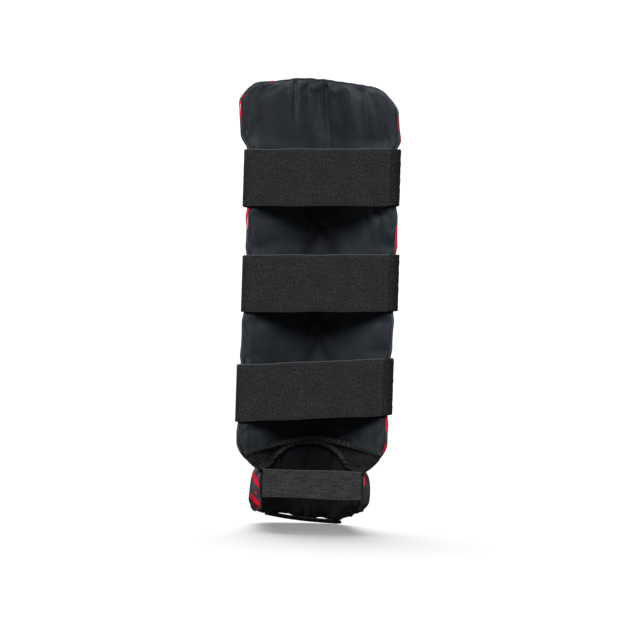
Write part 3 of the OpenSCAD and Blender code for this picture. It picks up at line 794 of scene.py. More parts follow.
def elastic_web(name, base, fleck, selvedge, half, rib, drawn_out):
    """Woven rubber elastic: heathered yarn in fine cross ribs, with a smooth lighter selvedge.

    Half its width and the ribs' spacing are in millimetres; drawn_out is how much of the
    heathering runs in streaks along the web.
    """
    material, tree, shader = new_material(name)
    at = add(tree, "ShaderNodeUVMap", out="UV", uv_map="UVMap")
    # flecks of 1.7 mm, streaks 1.6 mm wide and eight times as long, patches of 16 mm
    yarn = {"Vector": at, "Scale": per(1.7), "Detail": 4.0, "Roughness": 0.75}
    flecks = add(tree, "ShaderNodeTexNoise", yarn)
    drawn = add(tree, "ShaderNodeMapping", {"Vector": at, "Scale": (0.12, 1.0, 1.0)})
    streaks = add(tree, "ShaderNodeTexNoise", {"Vector": drawn, "Scale": per(1.6), "Detail": 2.0})
    patchy = add(tree, "ShaderNodeTexNoise", {"Vector": at, "Scale": per(16), "Detail": 2.0})
    ribbed = {"Vector": at, "Scale": waves(rib), "Distortion": 1.2, "Detail Scale": 3.0}
    ribs = add(tree, "ShaderNodeTexWave", ribbed, **BANDS_X)
    crossed = {"Vector": at, "Scale": waves(rib * 0.8), "Distortion": 1.0}
    cross = add(tree, "ShaderNodeTexWave", crossed, **BANDS_Y)
    relief = add(tree, "ShaderNodeMath", {0: ribs, 1: cross}, operation="ADD")
    both = add(tree, "ShaderNodeMath", {0: streaks, 1: drawn_out, 2: flecks}, operation="MULTIPLY_ADD")
    middle = 0.5 + drawn_out / 2
    heather = add(tree, "ShaderNodeMapRange", {0: both, 1: middle - 0.1, 2: middle + 0.15})
    tone = add(tree, "ShaderNodeMix", {0: heather, 6: base, 7: fleck}, **MIX)
    uneven = add(tree, "ShaderNodeMapRange", {0: patchy, 1: 0.3, 2: 0.7})
    shade = add(tree, "ShaderNodeMix", {0: uneven, 6: grey(0.84), 7: grey(1.14)}, **MIX)
    tone = add(tree, "ShaderNodeMix", {0: 1.0, 6: tone, 7: shade}, **TIMES)
    # painted shade: the ribs' relief also darkens the colour in the grooves and lightens it on the crests
    rows = add(tree, "ShaderNodeMapRange", {0: relief, 1: 0.0, 2: 1.6, 3: 0.72, 4: 1.12})
    lines = add(tree, "ShaderNodeCombineColor", {0: rows, 1: rows, 2: rows})
    tone = add(tree, "ShaderNodeMix", {0: 1.0, 6: tone, 7: lines}, **TIMES)
    up = add(tree, "ShaderNodeSeparateXYZ", {0: at}, out="Y")
    off = add(tree, "ShaderNodeMath", {0: up}, operation="ABSOLUTE")
    rim = add(tree, "ShaderNodeMapRange", {0: off, 1: (half - 0.75) / 1000, 2: (half - 0.5) / 1000})
    wire(tree, shader, {
        "Base Color": add(tree, "ShaderNodeMix", {0: rim, 6: tone, 7: selvedge}, **MIX),
        "Roughness": 0.78,
        "Specular IOR Level": 0.22,
        "Normal": add(tree, "ShaderNodeBump", {"Height": relief, "Strength": 0.5, "Distance": 0.0003}),
    })
    return material


def hook_tape(colours):
    """Nylon hook and loop tape: dark, matt and rough, with lighter flecks painted as the glints of small
    tufts that catch light.
    """
    material, tree, shader = new_material("nylon_hook_tape")
    at = add(tree, "ShaderNodeTexCoord", out="Object")
    # tufts every 1.7 mm, drawn coarser than the tape's 0.5 mm so that they show
    tufts = add(tree, "ShaderNodeTexVoronoi", {"Vector": at, "Scale": per(1.7)}, feature="F1")
    # painted glints: lighter flecks about 1.5 mm across stand for the tufts catching light
    flecks = add(tree, "ShaderNodeTexNoise", {"Vector": at, "Scale": per(1.5), "Detail": 3.0})
    light = add(tree, "ShaderNodeMapRange", {0: flecks, 1: 0.52, 2: 0.72})
    wire(tree, shader, {
        "Base Color": add(tree, "ShaderNodeMix", {0: light, 6: colours.tape, 7: linear("#2e2e2c")}, **MIX),
        "Roughness": 0.8,
        "Specular IOR Level": 0.25,
        "Normal": add(tree, "ShaderNodeBump", {"Height": tufts, "Strength": 1.0, "Distance": 0.0008}),
    })
    return material


def ruched_cloth(colours):
    """Stretch nylon over elastic: dark gathers with painted light on their crests and painted shade in their
    folds.
    """
    material, tree, shader = new_material("ruched_stretch_nylon")
    at = add(tree, "ShaderNodeUVMap", out="UV", uv_map="UVMap")
    # crinkles run across the band: 2.2 mm apart along it, five times as long
    across = add(tree, "ShaderNodeMapping", {"Vector": at, "Scale": (1.0, 0.2, 1.0)})
    crinkles = add(tree, "ShaderNodeTexNoise", {"Vector": across, "Scale": per(2.2), "Detail": 3.0})
    # painted light and shade: each point's crest value, added to the crinkles, lightens the crests and
    # darkens the folds
    painted_fold_light = add(tree, "ShaderNodeAttribute", out="Fac", attribute_name="stroke_paint_and_fold_light")
    painted_light = add(tree, "ShaderNodeMath", {0: crinkles, 1: painted_fold_light}, operation="ADD")
    light = add(tree, "ShaderNodeMapRange", {0: painted_light, 1: 0.55, 2: 1.5})
    wire(tree, shader, {
        "Base Color": add(tree, "ShaderNodeMix", {0: light, 6: colours.gather, 7: linear("#363a3f")}, **MIX),
        "Roughness": 0.6,
        "Specular IOR Level": 0.3,
        "Sheen Weight": 0.1,
        "Normal": add(tree, "ShaderNodeBump", {"Height": crinkles, "Strength": 0.8, "Distance": 0.0008}),
    })
    return material


def sewing_thread(colours):
    """Bonded nylon thread: twisted and slightly glossy."""
    material, tree, shader = new_material("bonded_nylon_thread")
    at = add(tree, "ShaderNodeTexCoord", out="Object")
    twist = add(tree, "ShaderNodeTexNoise", {"Vector": at, "Scale": per(0.9)})
    wire(tree, shader, {
        "Base Color": add(tree, "ShaderNodeMix", {0: twist, 6: colours.thread, 7: linear("#3a3d40")}, **MIX),
        "Roughness": 0.5,
    })
    return material


# the elastics' last three values: half the width, the ribs' spacing and the share of streaks
def leg_elastic(c):
    return elastic_web("heathered_leg_elastic", c.elastic, c.fleck, c.selvedge, 25, 1.3, 0.15)


def sole_elastic(c):
    light, rim = linear("#3d3d3c"), linear("#454443")
    return elastic_web("heathered_sole_elastic", c.sole, light, rim, 12.5, 1.1, 0.45)


def toe_elastic(c):
    return elastic_web("narrow_toe_elastic", c.elastic, c.fleck, linear("#2c2c2b"), 5, 1.1, 0.5)


MAKERS = {
    "lining": nylon_lining, "cover": leather_cover, "leg": leg_elastic, "sole": sole_elastic,
    "toe": toe_elastic, "tape": hook_tape, "gather": ruched_cloth, "thread": sewing_thread,
}


def material_named(name):
    """A finish that an earlier step made, or makes now."""
    scene = bpy.context.scene
    if scene.get("guard_" + name) is None:
        scene["guard_" + name] = MAKERS[name](scene.guard_colours)
    return scene["guard_" + name]


# ---- painted strokes ------------------------------------------------------------------------

# each stroke: its two ends in design millimetres (x, y, z) and its half width
STROKES = (
    ((-72, 2, 372), (-73, 4, 357), 2.8), ((-70.5, 4, 389), (-71.5, 3, 377), 1.6),
    ((-56, 22, 395), (-46, 24, 395), 2.0), ((-63.5, 2, 284), (-64, 3, 264), 2.2),
    ((-64, 8, 72), (-62, 11, 62), 3.0), ((-55, 12, 61), (-53, 14, 60), 2.0),
    ((66.4, 2, 366), (67.4, 4, 340), 1.9), ((65, 2, 266), (66, 4, 248), 4.2),
    ((64, 2, 197), (64.5, 4, 196), 1.7), ((64.3, 2, 181), (64.6, 4, 180), 1.5),
    ((62.8, 2, 100), (63, 4, 86), 2.6), ((62.5, 3, 78), (59, 7, 66), 2.2),
    ((-46, 52, 392), (-72, 14, 350), 8.0), ((-30, 62, 398), (36, 58, 372), 6.0),
    ((-62, 34, 312), (24, 70, 352), 11.0), ((56, 44, 300), (-6, 70, 262), 9.0),
    ((70, 12, 348), (46, 52, 318), 7.0), ((-66, 20, 262), (-30, 62, 226), 8.0),
    ((-44, 56, 168), (40, 60, 206), 10.0), ((64, 24, 150), (12, 70, 128), 7.0),
    ((-66, 22, 100), (-14, 70, 84), 8.0), ((60, 34, 92), (34, 60, 70), 6.0),
    ((-52.5, 22, 49), (-46, 12, 36), 2.4), ((-53, 24, 38), (-47, 14, 30), 1.4),
    ((-52.5, 22, 29), (-46.5, 18, 22), 2.8), ((-51, 26, 22), (-48, 22, 17), 2.4),
    ((45, 24.4, 50), (45.6, 23.2, 43), 2.2), ((44, 20, 49), (45, 19, 42), 2.2),
    ((-54, 30, 50), (-52, 60, 30), 4.0), ((-34, 80, 62), (22, 104, 46), 6.0),
    ((30, 118, 22), (-16, 126, 24), 4.0),
)


def paint_field(points):
    """How deep each point lies in the nearest brush stroke, and its place along and across it.

    The depth is 1 less the distance over twice the stroke's half width, which narrows by a
    third towards its end. Along and across are in metres.
    """
    best = np.full(len(points), -1.0)
    place = np.zeros((len(points), 2))
    for k, (a, b, wide) in enumerate(STROKES):
        a, b = np.array(a, float), np.array(b, float)
        long = np.linalg.norm(b - a)
        ahead = (b - a) / long
        t = np.clip((points - a) @ ahead / long, 0, 1)
        off = points - a - (t * long)[:, None] * ahead
        away = np.linalg.norm(off, axis=1)
        depth = 1 - away / (2 * wide * (1 - 0.34 * t))
        side = unit(np.cross(ahead, [0.0, 1.0, 0.1]))
        nearer = depth > best
        spot = np.stack([(points - a) @ ahead + 37 * k, off @ side + 11 * k], -1) / 1000
        place = np.where(nearer[:, None], spot, place)
        best = np.maximum(best, depth)
    return best, place


# ---- the shin pad ---------------------------------------------------------------------------

# folds of the lining: x, height, width, the height where each starts and how far it runs down
TOP_FOLDS = (
    (-20, -3.4, 1.5, 396, 46), (-24, 1.1, 2.6, 396, 46), (-16.5, 1.2, 1.8, 396, 34),
    (-9, -1.2, 2.6, 396, 40), (-5, 0.8, 2.2, 396, 34), (0.4, -2.4, 1.5, 396, 30),
    (3.0, 2.6, 1.3, 396, 30), (6.0, -4.2, 2.1, 396, 72), (10, 1.1, 3.0, 396, 54),
    (18, -0.8, 4.0, 392, 44), (28, 1.1, 1.5, 388, 24), (36, -3.2, 4.4, 390, 66),
    (44, 1.0, 3.4, 384, 56), (50, -0.9, 2.2, 372, 40), (57, -1.0, 1.6, 352, 26),
    (-36, 0.7, 6.0, 394, 60), (-47, -0.9, 4.0, 388, 50), (-54, 0.6, 3.0, 380, 44),
)
MID_FOLDS = (
    (39, -2.2, 2.6, 290, 42), (45, 1.4, 2.4, 290, 44), (50, -1.2, 1.8, 290, 40), (54, 0.8, 1.8, 290, 40),
    (22, -0.9, 5.0, 290, 44), (8, -0.7, 3.0, 290, 44), (-30, 0.8, 7.0, 290, 44), (-14, -0.7, 5.0, 290, 44),
    (44, -0.8, 3.0, 198, 42), (14, -0.6, 4.0, 198, 44), (-8, 0.5, 5.0, 198, 44), (-40, 0.6, 6.0, 198, 44),
)


def shin_pleats(across, up, points, from_edge):
    """Height of the lining's folds: bells across, fading downwards, and gathers at the seam."""
    x, z = points[..., 0], points[..., 2]
    size = bpy.context.scene.guard_sizes
    fold = 0
    for at, high, wide, top, run in TOP_FOLDS + MID_FOLDS:
        drift = at + (top - z) * 0.03 * (1 if at > 0 else -0.4)
        fade = smooth((z - (top - run)) / (run * 0.7)) * smooth((top + 6 - z) / 6)
        fold = fold + high * fade * hump(x, drift, wide)
    fold = fold * size.crease / USUAL_CREASE * smooth((from_edge + 1) / 5)
    near = np.exp(-from_edge / 7) * smooth(from_edge / 1.5)
    round_it = np.where(np.abs(across) > 0.93, z, x)
    gathers = ripple(round_it, ((8.3, 0.5, 0.3), (5.1, 0.35, 1.1), (13.7, 0.6, 2.0)))
    waves = ripple(z + 0.4 * x, ((47, 0.16, 0.2), (29, 0.1, 1.7))) * (1 - pressed(x, z) * 0.6)
    toe_folds = ripple(x, ((11, 0.5, 0.4), (6.3, 0.25, 1.9))) * smooth((104 - z) / 22)
    return fold + gathers * near * size.pucker * 1000 + waves + toe_folds * 0.8


def shin_pins(points):
    """How firmly the cloth is held: lightly on the foam, more on the cover under the straps."""
    front = np.arange(len(points)) >= len(points) // 2
    under_strap = pressed(points[:, 0], points[:, 2]) * np.where(front, 0.9, 0.15)
    return np.maximum(np.where(front, 0.35, 0.02), under_strap)


class GUARD_OT_shin_pad(bpy.types.Operator):
    """Builds the shin pad's lining and cover round its foam, with the piping of their seam"""

    bl_idname = "guard.shin_pad"
    bl_label = "Shin pad"

    def execute(self, context):
        size = context.scene.guard_sizes
        moved = swell("shin", shin_faces, 72, 37, shin_pins, size.swell_cap * 1000)
        inner, outer, rings = fine_pad(shin_faces, moved, 214, 150, 11, shin_pleats)
        inner, outer, rings = lean(inner), lean(outer), lean(rings)
        back, front, seam = split_pad("shin_pad", inner, outer, rings, 1, paint_field)
        for obj, name, nodes in (
            (back, "lining", ("shin_lining", "shin_comfort_foam")),
            (front, "cover", ("shin_cover", "shin_impact_foam")),
        ):
            clothe(obj, name)
            thicken(obj, 0.0012)
            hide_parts(*nodes)
            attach(obj, "shin_pad")
        loop = smoother(seam, 2, True)
        ahead = unit(np.roll(loop, -1, 0) - np.roll(loop, 1, 0))
        middle = lean(np.array([[0.0, 20.0, 226.0]]))[0]
        radial = loop - middle
        radial[:, 1] = 0
        radial[:, 2] *= 0.38
        out = unit(np.cross(np.cross(ahead, unit(radial)), ahead))
        points, faces = tube(even(loop + out * 0.2, 1.5, True), size.piping * 1000, 8)
        stroke_paint_and_fold_light, place = paint_field(points)
        piping = make_mesh("shin_piping", points, faces, place, stroke_paint_and_fold_light)
        clothe(piping, "cover")
        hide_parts("shin_edge_welt")
        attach(piping, "shin_pad")
        rows = []
        for ring, raised, radius in ((0, 0.05, 0.3), (4, -0.14, 0.22)):
            line = smoother(rings[ring], 3, True)
            rows.append(stitch_row(line + out * raised, out, closed=True, radius=radius))
        sewn = sewn_rows("shin_seam_stitches", rows)
        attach(sewn, "shin_pad")
        return {"FINISHED"}


def front_dome(angles, heights, rows, cols, high, place):
    """A raised foam pad: its skin stands out by the root of (1 - s^4)(1 - t^12).

    high holds the skin's height at its edge, how much more its crown has, and its base's height.
    """
    s, t = np.meshgrid(np.linspace(-1, 1, cols), np.sin(np.linspace(-1, 1, rows) * math.pi / 2))
    s = np.sin(s * math.pi / 2) * 0.5 + s * 0.5
    angle = (angles[0] + angles[1]) / 2 + s * (angles[1] - angles[0]) / 2
    along = (heights[0] + heights[1]) / 2 + t * (heights[1] - heights[0]) / 2
    crown = np.sqrt(np.clip((1 - np.abs(s) ** 4) * (1 - np.abs(t) ** 12), 0, 1))
    top = place(angle, along, high[0] + high[1] * crown)
    base = place(angle, along, 0 * angle + high[2])
    n = rows * cols
    loop = border_index(rows, cols)
    rim = np.stack([loop, loop + n, np.roll(loop, -1) + n, np.roll(loop, -1)], -1)
    faces = np.vstack([grid_faces(rows, cols)[:, ::-1], grid_faces(rows, cols, start=n), rim[:, ::-1]])
    out = unit(border(top - base) + 1e-6)
    edge = place(border(angle), border(along), 0 * border(angle) + high[2] + 0.9)
    return np.vstack([top.reshape(-1, 3), base.reshape(-1, 3)]), faces, edge, out


# each bolster's angles round the front, in degrees, and its heights
BOLSTERS = (((-21, 21), (100, 374)), ((27, 50), (112, 360)), ((-50, -27), (112, 360)))


class GUARD_OT_shin_bolsters(bpy.types.Operator):
    """Builds the three raised foam bolsters on the front, each with a row of stitches"""

    bl_idname = "guard.shin_bolsters"
    bl_label = "Shin bolsters"

    def execute(self, context):
        domes, sewn = [], []
        for angles, heights in BOLSTERS:
            p, f, edge, out = front_dome(
                angles, heights, 120, 26, (2.2, 6.9, -0.6), lambda a, z, o: lean(front_point(a, z, o))
            )
            domes.append((p, f))
            grown = edge + unit(edge - p.mean(0)) * 1.6
            sewn.append(stitch_row(smoother(grown, 4, True), out, closed=True, radius=0.3))
        points, faces = joined(domes)
        stroke_paint_and_fold_light, place = paint_field(points)
        obj = make_mesh("shin_bolsters", points, faces, place, stroke_paint_and_fold_light)
        clothe(obj, "cover")
        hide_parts("bolster_foam", "bolster_cover")
        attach(obj, "shin_pad")
        thread = sewn_rows("shin_bolster_stitches", sewn)
        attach(thread, "shin_pad")
        return {"FINISHED"}


# ---- leg straps -----------------------------------------------------------------------------

WRAP_RADIUS, WRAP_Y = 7.6, 6.6
WRAP_OUT = WRAP_RADIUS + HINGE_X - HALF_WIDTH
TAPE_THICK, HOOK_THICK, LOOP_THICK = 1.1, 0.7, 1.1  # millimetres


def wrap_path(z, out, last_angle):
    """Plan of a strip round the right edge: an arc about the edge, then along the front face."""
    a = np.radians(np.linspace(-90, -2, 14))
    arc = np.stack([HINGE_X + (WRAP_RADIUS + out) * np.cos(a), WRAP_Y + (WRAP_RADIUS + out) * np.sin(a)], -1)
    angles = np.linspace(82, last_angle, 12)
    side = front_point(angles, np.full(12, float(z)), WRAP_OUT + out)[:, :2]
    return np.vstack([arc, side])


def mirrored(path):
    """A plan path on the other side of the pad, run backwards."""
    return path[::-1] * [-1, 1]


def strap_path(z, thick):
    """The leg elastic's plan: from its sewn end round the left edge and across the back."""
    out = thick / 2
    left = mirrored(wrap_path(z, out, 62))
    y = WRAP_Y - WRAP_RADIUS - out
    x = np.linspace(-HINGE_X + 2, 60.4, 50)
    bow = 0.5 * (1 - (x / 61) ** 2)
    across = np.stack([x, y - bow * 0.8 + 0.15 * np.sin(x / 17)], -1)
    return smoother(even(np.vstack([left[:-1], across]), 1.6), 3)


def leaned(points, z):
    """Shifts a strap's points by the pad's lean at the strap's own height."""
    shift = lean(np.array([[0.0, 0.0, z]]))[0, 0]
    return points + [shift, 0, 0]


class GUARD_OT_leg_straps(bpy.types.Operator):
    """Builds each leg strap: elastic from its sewn end, its hook tape end and the loop patch"""

    bl_idname = "guard.leg_straps"
    bl_label = "Leg straps"

    def execute(self, context):
        size = context.scene.guard_sizes
        thick, width = size.web_thick * 1000, size.web_width * 1000
        sewn = []
        for strap, z, climb in zip(STRAPS, STRAP_Z, CLIMBS):
            # the elastic bends where it turns round the left edge
            points, faces, uv = web(strap_path(z, thick), z, width, thick, climb, 14)
            wavy = ripple(points[:, 0] + 31 * z, ((61, 0.22, 0.0), (37, 0.12, 1.0)))
            points[:, 2] += wavy * np.sign(points[:, 2] - z - climb * points[:, 0])
            elastic = make_mesh(f"leg_elastic_{strap}", leaned(points, z), faces, uv)
            clothe(elastic, "leg")
            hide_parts(f"leg_strap_{strap}", f"strap_anchor_{strap}")
            start = row(leaned(np.array([-67.4, 5.0, z]), z))
            end = row(leaned(np.array([-59.6, -2.2, z]), z))
            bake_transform(elastic)

            # the tape starts under the elastic's end and turns round the right edge
            x = np.linspace(49, HINGE_X - 1, 8)
            under = np.stack([x, np.full(8, WRAP_Y - WRAP_RADIUS + 0.6)], -1)
            around = wrap_path(z, 0.8 + TAPE_THICK / 2, 66)[1:]
            path = smoother(even(np.vstack([under, around]), 1.4), 4)
            points, faces, uv = web(path, z, width - 0.6, TAPE_THICK, climb, 16)
            rough = ripple(points[:, 2], ((4.3, 0.1, 0.0), (7.9, 0.14, 1.0)))
            points[:, 0] += rough * smooth((points[:, 0] - 60) / 4)
            tape = make_mesh(f"tape_end_{strap}", leaned(points, z), faces, uv)
            clothe(tape, "tape")
            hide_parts(f"hook_tape_{strap}")
            start = row(leaned(np.array([HINGE_X - 0.5, -1.2, z]), z))
            end = row(leaned(np.array([HINGE_X + 6.0, 3.5, z]), z))
            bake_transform(tape)

            # its hooks, on the side that faces the pad
            path = even(wrap_path(z, HOOK_THICK / 2, 66)[3:], 1.6)
            points, faces, uv = web(path, z, width - 3, HOOK_THICK, climb, 12)
            hooks = make_mesh(f"hook_field_{strap}_cloth", leaned(points, z), faces, uv)
            clothe(hooks, "tape")
            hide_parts(f"hook_field_{strap}")
            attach(hooks, f"tape_{strap}")

            # the patch of loops on the pad's front that the hooks hold
            angles = np.linspace(82, 58, 16)
            flat = front_point(angles, np.full(16, float(z)), 0.75)[:, :2]
            points, faces, uv = web(flat, z, width, LOOP_THICK, climb, 12)
            loops = make_mesh(f"loop_patch_{strap}_cloth", leaned(points, z), faces, uv)
            clothe(loops, "tape")
            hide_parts(f"loop_patch_{strap}")
            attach(loops, "shin_pad")

            sewn += self.end_stitches(z, climb, thick)
            joint = self.joint_stitches(z, climb, thick, strap)
            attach(joint, f"strap_{strap}")
        box = sewn_rows("strap_end_stitches", sewn)
        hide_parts("anchor_stitches")
        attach(box, "shin_pad")
        return {"FINISHED"}

    @staticmethod
    def end_stitches(z, climb, thick):
        """A sewn box with a cross in it, on the strap's end at the outside of the pad."""
        out = WRAP_OUT + thick + 0.1

        def at(angle, up):
            p = front_point(angle, 0 * angle + z, out)
            p[:, 0] *= -1
            p[:, 2] = z + up + climb * p[:, 0]
            q = front_point(angle, 0 * angle + z, out + 1)
            q[:, 0] *= -1
            q[:, 2] = p[:, 2]
            return leaned(p, z), unit(q - p)

        near, far, high = 78.0, 65.0, 21.0
        t = np.linspace(0, 1, 12)
        lines = [
            (near + (far - near) * t, 0 * t + high), (near + (far - near) * t, 0 * t - high),
            (0 * t + near, high * (1 - 2 * t)), (0 * t + far, high * (1 - 2 * t)),
            (near + (far - near) * t, high * (1 - 2 * t)), (near + (far - near) * t, high * (2 * t - 1)),
        ]
        return [stitch_row(*at(angle, up), radius=0.36) for angle, up in lines]

    @staticmethod
    def joint_stitches(z, climb, thick, strap):
        """Two rows of thread where the elastic's end is sewn over the hook tape."""
        rows = []
        for x in (52.5, 57.0):
            up = np.linspace(-23.5, 23.5, 20)
            y = WRAP_Y - WRAP_RADIUS - thick - 0.1 - 0.4 * (1 - (x / 61) ** 2)
            line = np.stack([0 * up + x, 0 * up + y, z + up + climb * x], -1)
            rows.append(stitch_row(leaned(line, z), np.tile([0.0, -1.0, 0.0], (20, 1)), 2.0, 1.1, 0.28))
        return sewn_rows(f"tape_joint_stitches_{strap}", rows)


# ---- the instep pad -------------------------------------------------------------------------


# how far the toe edge rises or sags across the instep, in millimetres
SAG_X = (-48, -40, -34, -28, -21, -16, -8, 1, 4, 10, 14, 20, 26, 30, 36, 40)
SAG_Z = (1.2, 0.9, 0.3, -0.6, -2.2, -5, -6.2, -6, -3.6, -2.8, -3.4, -4.4, -2.4, -0.5, 1.6, 1.6)


def settle(points):
    """The soft instep's toe edge sags towards the toe loop, and its lower corners curl up."""
    x, y, z = np.moveaxis(points, -1, 0)
    sag = np.interp(x, SAG_X, SAG_Z)
    left = np.interp(x, (-54, -50, -45, -40), (4.0, 2.2, 0.8, 0))
    right = np.interp(x, (36, 40, 44, 47, 51), (0, 0.9, 5.0, 5.0, 2.6)) * smooth((85 - y) / 30)
    out = points.copy()
    out[..., 2] += sag * smooth((y - 84) / 36) + (left + right) * smooth((34 - z) / 18)
    return out


def instep_pins(points):
    """The lining hangs almost free, and the cover is held a little."""
    return np.where(np.arange(len(points)) >= len(points) // 2, 0.3, 0.03)


def instep_pleats(across, up, points, from_edge):
    """Sewn channels that fan out from the ankle, pleats at the toes and gathers at the seam."""
    ahead = (1 - up) / 2
    along, angle = instep_place(across, ahead)
    depth = 0
    for at, turn in ((-33, -6), (-2, 0), (27, 9)):
        line = at + turn * ahead
        depth = depth - 2.4 * hump(angle, line, 1.9) * smooth((0.8 - ahead) / 0.2)
        banks = hump(angle, line - 7, 4) + hump(angle, line + 7, 4)
        depth = depth + 0.6 * banks * smooth((0.8 - ahead) / 0.3)
    x = points[..., 0]
    pleats = hump(x, -14, 2.0) + hump(x, -3.5, 1.8) + 0.8 * hump(x, 3.5, 1.6)
    pleats = pleats - hump(x, -8, 2.4) - hump(x, 0, 1.4)
    pleats = pleats * 1.8 * smooth((ahead - 0.58) / 0.25) * (0.25 + 0.75 * smooth(from_edge / 9))
    gathers = ripple(along + 0.7 * angle, ((6.1, 0.35, 0.0), (9.7, 0.3, 1.0))) * np.exp(-from_edge / 6)
    return depth * smooth(from_edge / 4) + pleats + gathers * smooth(from_edge / 1.5) * 0.8


# each small bolster's angles round the instep, in degrees
INSTEP_BOLSTERS = ((-15, 15), (26, 52), (-52, -26))


class GUARD_OT_instep_pad(bpy.types.Operator):
    """Builds the instep pad's lining and cover round its foam, with piping and stitches"""

    bl_idname = "guard.instep_pad"
    bl_label = "Instep pad"

    def execute(self, context):
        size = context.scene.guard_sizes
        moved = swell("instep", instep_faces, 27, 41, instep_pins, 1.6)
        inner, outer, rings = fine_pad(instep_faces, moved, 92, 132, 11, instep_pleats)
        inner, outer, rings = settle(inner), settle(outer), settle(rings)
        back, front, seam = split_pad("instep_pad", inner, outer, rings, 1, paint_field)
        for obj, name, nodes in (
            (back, "lining", ("instep_lining", "instep_foam")),
            (front, "cover", ("instep_cover",)),
        ):
            clothe(obj, name)
            thicken(obj, 0.001)
            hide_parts(*nodes)
            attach(obj, "instep")
        loop = smoother(seam, 2, True)
        out = unit(rings[4] - (rings[0] + rings[-1]) / 2)
        # the piping is a tenth thinner than the shin pad's
        points, faces = tube(even(loop + out * 0.1, 1.4, True), 0.9 * size.piping * 1000, 8)
        piping = make_mesh("instep_piping", points, faces)
        clothe(piping, "cover")
        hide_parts("instep_edge_welt")
        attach(piping, "instep")
        rows = [stitch_row(smoother(rings[k], 3, True), out, closed=True, radius=0.28) for k in (1, 8)]
        sewn = sewn_rows("instep_seam_stitches", rows)
        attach(sewn, "instep")

        domes, rows = [], []
        for angles in INSTEP_BOLSTERS:
            p, f, edge, up = front_dome(
                angles, (14, 84), 44, 20, (1.4, 2.2, -0.6),
                lambda a, s, o: settle(instep_at(s, a * INSTEP_RADIUS / section_radius(s), INSTEP_THICK + o)),
            )
            domes.append((p, f[:, ::-1]))
            grown = smoother(edge + unit(edge - p.mean(0)) * 1.4, 3, True)
            rows.append(stitch_row(grown, up, closed=True, radius=0.28))
        points, faces = joined(domes)
        stroke_paint_and_fold_light, place = paint_field(points)
        ribs = make_mesh("instep_bolsters", points, faces, place, stroke_paint_and_fold_light)
        clothe(ribs, "cover")
        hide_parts("instep_bolster_foam", "instep_bolster_cover")
        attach(ribs, "instep")
        thread = sewn_rows("instep_bolster_stitches", rows)
        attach(thread, "instep")
        return {"FINISHED"}


SOLE_Y, SOLE_Z = 11.0, 42.0  # the sole strap's middle


class GUARD_OT_sole_strap(bpy.types.Operator):
    """Builds the sole elastic with its sewn ends, and the narrow toe loop"""

    bl_idname = "guard.sole_strap"
    bl_label = "Sole strap and toe loop"

    def execute(self, context):
        half, wide, thick, lean_back = 43.5, 25.0, 1.6, math.radians(10)
        x = np.linspace(-half, half, 70)
        path = np.stack([x, -0.9 * np.cos(x / half * math.pi / 2) + 0.25 * np.sin(x / 9)], -1)
        points, faces, uv = web(path, 0, wide, thick, 0, 12)
        points[:, 2] += 0.35 * np.sin(points[:, 0] / 13) * np.sign(points[:, 2])

        def tilted(p):
            """Leans the strap back by ten degrees and lays it against the flaps' rear edges."""
            y = p[..., 1] * math.cos(lean_back) + p[..., 2] * math.sin(lean_back)
            z = p[..., 2] * math.cos(lean_back) - p[..., 1] * math.sin(lean_back)
            return hang(np.stack([p[..., 0], y + SOLE_Y, z + SOLE_Z], -1))

        sole = make_mesh("sole_elastic", tilted(points), faces, uv)
        clothe(sole, "sole")
        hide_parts("sole_strap")
        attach(sole, "instep")
        rows = []
        for x in (-41.5, -38.5, 38.5, 41.5):
            up = np.linspace(-11, 11, 12)
            line = np.stack([0 * up + x, 0 * up - 1.0, up], -1)
            off = tilted(line + [0, -1, 0]) - tilted(line)
            rows.append(stitch_row(tilted(line), off, 2.0, 1.0, 0.3))
        sewn = sewn_rows("sole_stitches", rows)
        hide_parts("sole_strap_stitches")
        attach(sewn, "instep")

        low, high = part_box("toe_loop")
        left, right = low.x * 1000, high.x * 1000
        x = np.linspace(left - 2, right + 1.5, 60)
        slope = math.radians(22)
        wide, thick = 10.0, 1.5
        path = np.stack([x, 0 * x], -1)
        points, faces, uv = web(path, 0, wide, thick, 0, 6)
        # it lies 125 mm forward, slopes down to the right and flattens out there
        x = points[:, 0]
        height = 2.3 - 0.085 * x + 0.0009 * x**2 + 0.3 * np.sin(x / 14)
        taper = 1 - 0.5 * smooth((x - (right - 5)) / 6) ** 2
        across, flat = points[:, 2] * taper, points[:, 1]
        y = 125 + across * math.cos(slope) + flat * math.sin(slope)
        z = height - across * math.sin(slope) + flat * math.cos(slope)
        toe = make_mesh("toe_elastic", np.stack([x, y, z], -1), faces, uv)
        clothe(toe, "toe")
        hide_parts("toe_loop")
        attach(toe, "instep")
        return {"FINISHED"}


# ---- the gathered ankle ---------------------------------------------------------------------


